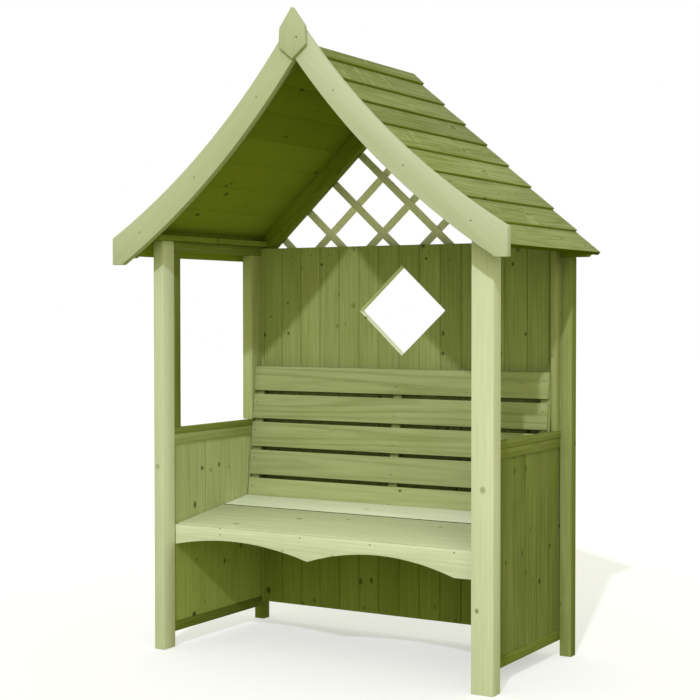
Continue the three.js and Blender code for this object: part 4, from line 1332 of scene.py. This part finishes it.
# %% Screws in the backrest, seat and apron
SCREW_RISES = {"left": 15 * MM, "middle": -18 * MM, "right": 15 * MM}  # from the middle of a slat
spots = []
for i in SLATS:
    low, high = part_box(f"back_slat_{i}")
    face = (low + high) / 2 + BACK_FACE * SLAT_THICKNESS / 2
    for side in ("left", "middle", "right"):
        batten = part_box(f"back_batten_{side}")
        x = (batten[0].x + batten[1].x) / 2
        place = face + UP_THE_BACK * SCREW_RISES[side]
        spots.append(((x, place.y, place.z), BACK_FACE))
fasten("screws_slats", spots)

SEAT_EDGE = 45 * MM  # edge of a seat board to its screws
low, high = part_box("seat_board_front")
rise = -SEAT_SLOPE.y / SEAT_SLOPE.z
spots = []
for board in ("seat_board_front", "seat_board_rear"):
    near, far = (corner.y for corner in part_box(board))
    for side in ("left", "right"):
        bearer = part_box(f"seat_bearer_{side}")
        x = (bearer[0].x + bearer[1].x) / 2
        for y in (near + SEAT_EDGE, far - SEAT_EDGE):
            spots.append(((x, y, high.z + (y - high.y) * rise), SEAT_SLOPE))
fasten("screws_seat", spots)

APRON_SCREWS = ((-0.400, 0.413), (-0.400, 0.393), (-0.087, 0.406), (0.172, 0.405), (0.466, 0.404))
apron_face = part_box("seat_apron")[0].y
spots = [((x, apron_face, z), FRONT) for x, z in APRON_SCREWS]  # metres to the right, and up
fasten("screws_apron", spots)
print("screws in the slats, the seat and the apron")

# %% [markdown]
# Nails in the roof and the bargeboards
# A roof board is nailed to the front and the rear rafter, low on its face, where it is thick. It tapers,
# so a nail set square to the roof's slope would stand askew. The board's own slope is read from its
# solid, and so is the middle of each curved bargeboard, where its nails sit.

# %% Nails in the roof and the bargeboards
FRONT_INSET, REAR_INSET = 14 * MM, 18 * MM  # from the front face of each gable frame
ROOF_NAIL_Y = [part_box("gable_frame_front")[0].y + FRONT_INSET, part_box("gable_frame_rear")[0].y + REAR_INSET]
NAIL_DOWN_SHARE = 0.30  # of the way up a board from its thick edge


def on_board(sign, course):
    """The point on top of a roof board, a little up from its thick lower edge, and its slope."""
    side = "left" if sign < 0 else "right"
    out, down = roof_face(sign), down_the_roof(sign)
    corners = [vertex.co for vertex in cad_nodes[f"roof_board_{side}_{course}"].data.vertices]
    thick = max(corners, key=lambda corner: corner.dot(out))
    top = min(corner.dot(down) for corner in corners)
    thin = max((c for c in corners if c.dot(down) < top + MM), key=lambda corner: corner.dot(out))
    place = thick.lerp(thin, NAIL_DOWN_SHARE)
    slope = Vector((thick.z - thin.z, 0, thin.x - thick.x)).normalized()
    return place, slope if slope.z > 0 else -slope


for sign, side in SIDES:
    spots = []
    for course in COURSES:
        place, slope = on_board(sign, course)
        spots += [((place.x, y, place.z), slope) for y in ROOF_NAIL_Y]
    fasten(f"nails_roof_{side}", spots)

BARGE_NAILS = (140 * MM, 380 * MM, 600 * MM)  # out from the joint at the top


def middle_of_barge(side, x):
    """The height halfway between the two curved edges of a bargeboard."""
    mesh = cad_nodes[f"bargeboard_{side}"].data
    heights = []
    for edge in mesh.edges:
        a, b = (mesh.vertices[index].co for index in edge.vertices)
        if (a.x - x) * (b.x - x) < 0:
            heights.append(a.z + (b.z - a.z) * (x - a.x) / (b.x - a.x))
    return (min(heights) + max(heights)) / 2


barge_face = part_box("bargeboard_left")[0].y
spots = [((sign * x, barge_face, middle_of_barge(side, sign * x)), FRONT)
         for sign, side in SIDES for x in BARGE_NAILS]
fasten("nails_bargeboards", spots)
sunk = Vector((0, HOLE_DEPTH - NAIL_PROUD, 0))
fasten("nail_finial", [(FINIAL_NAIL + sunk, FRONT)])
bpy.data.objects.remove(PATTERN_HEAD)
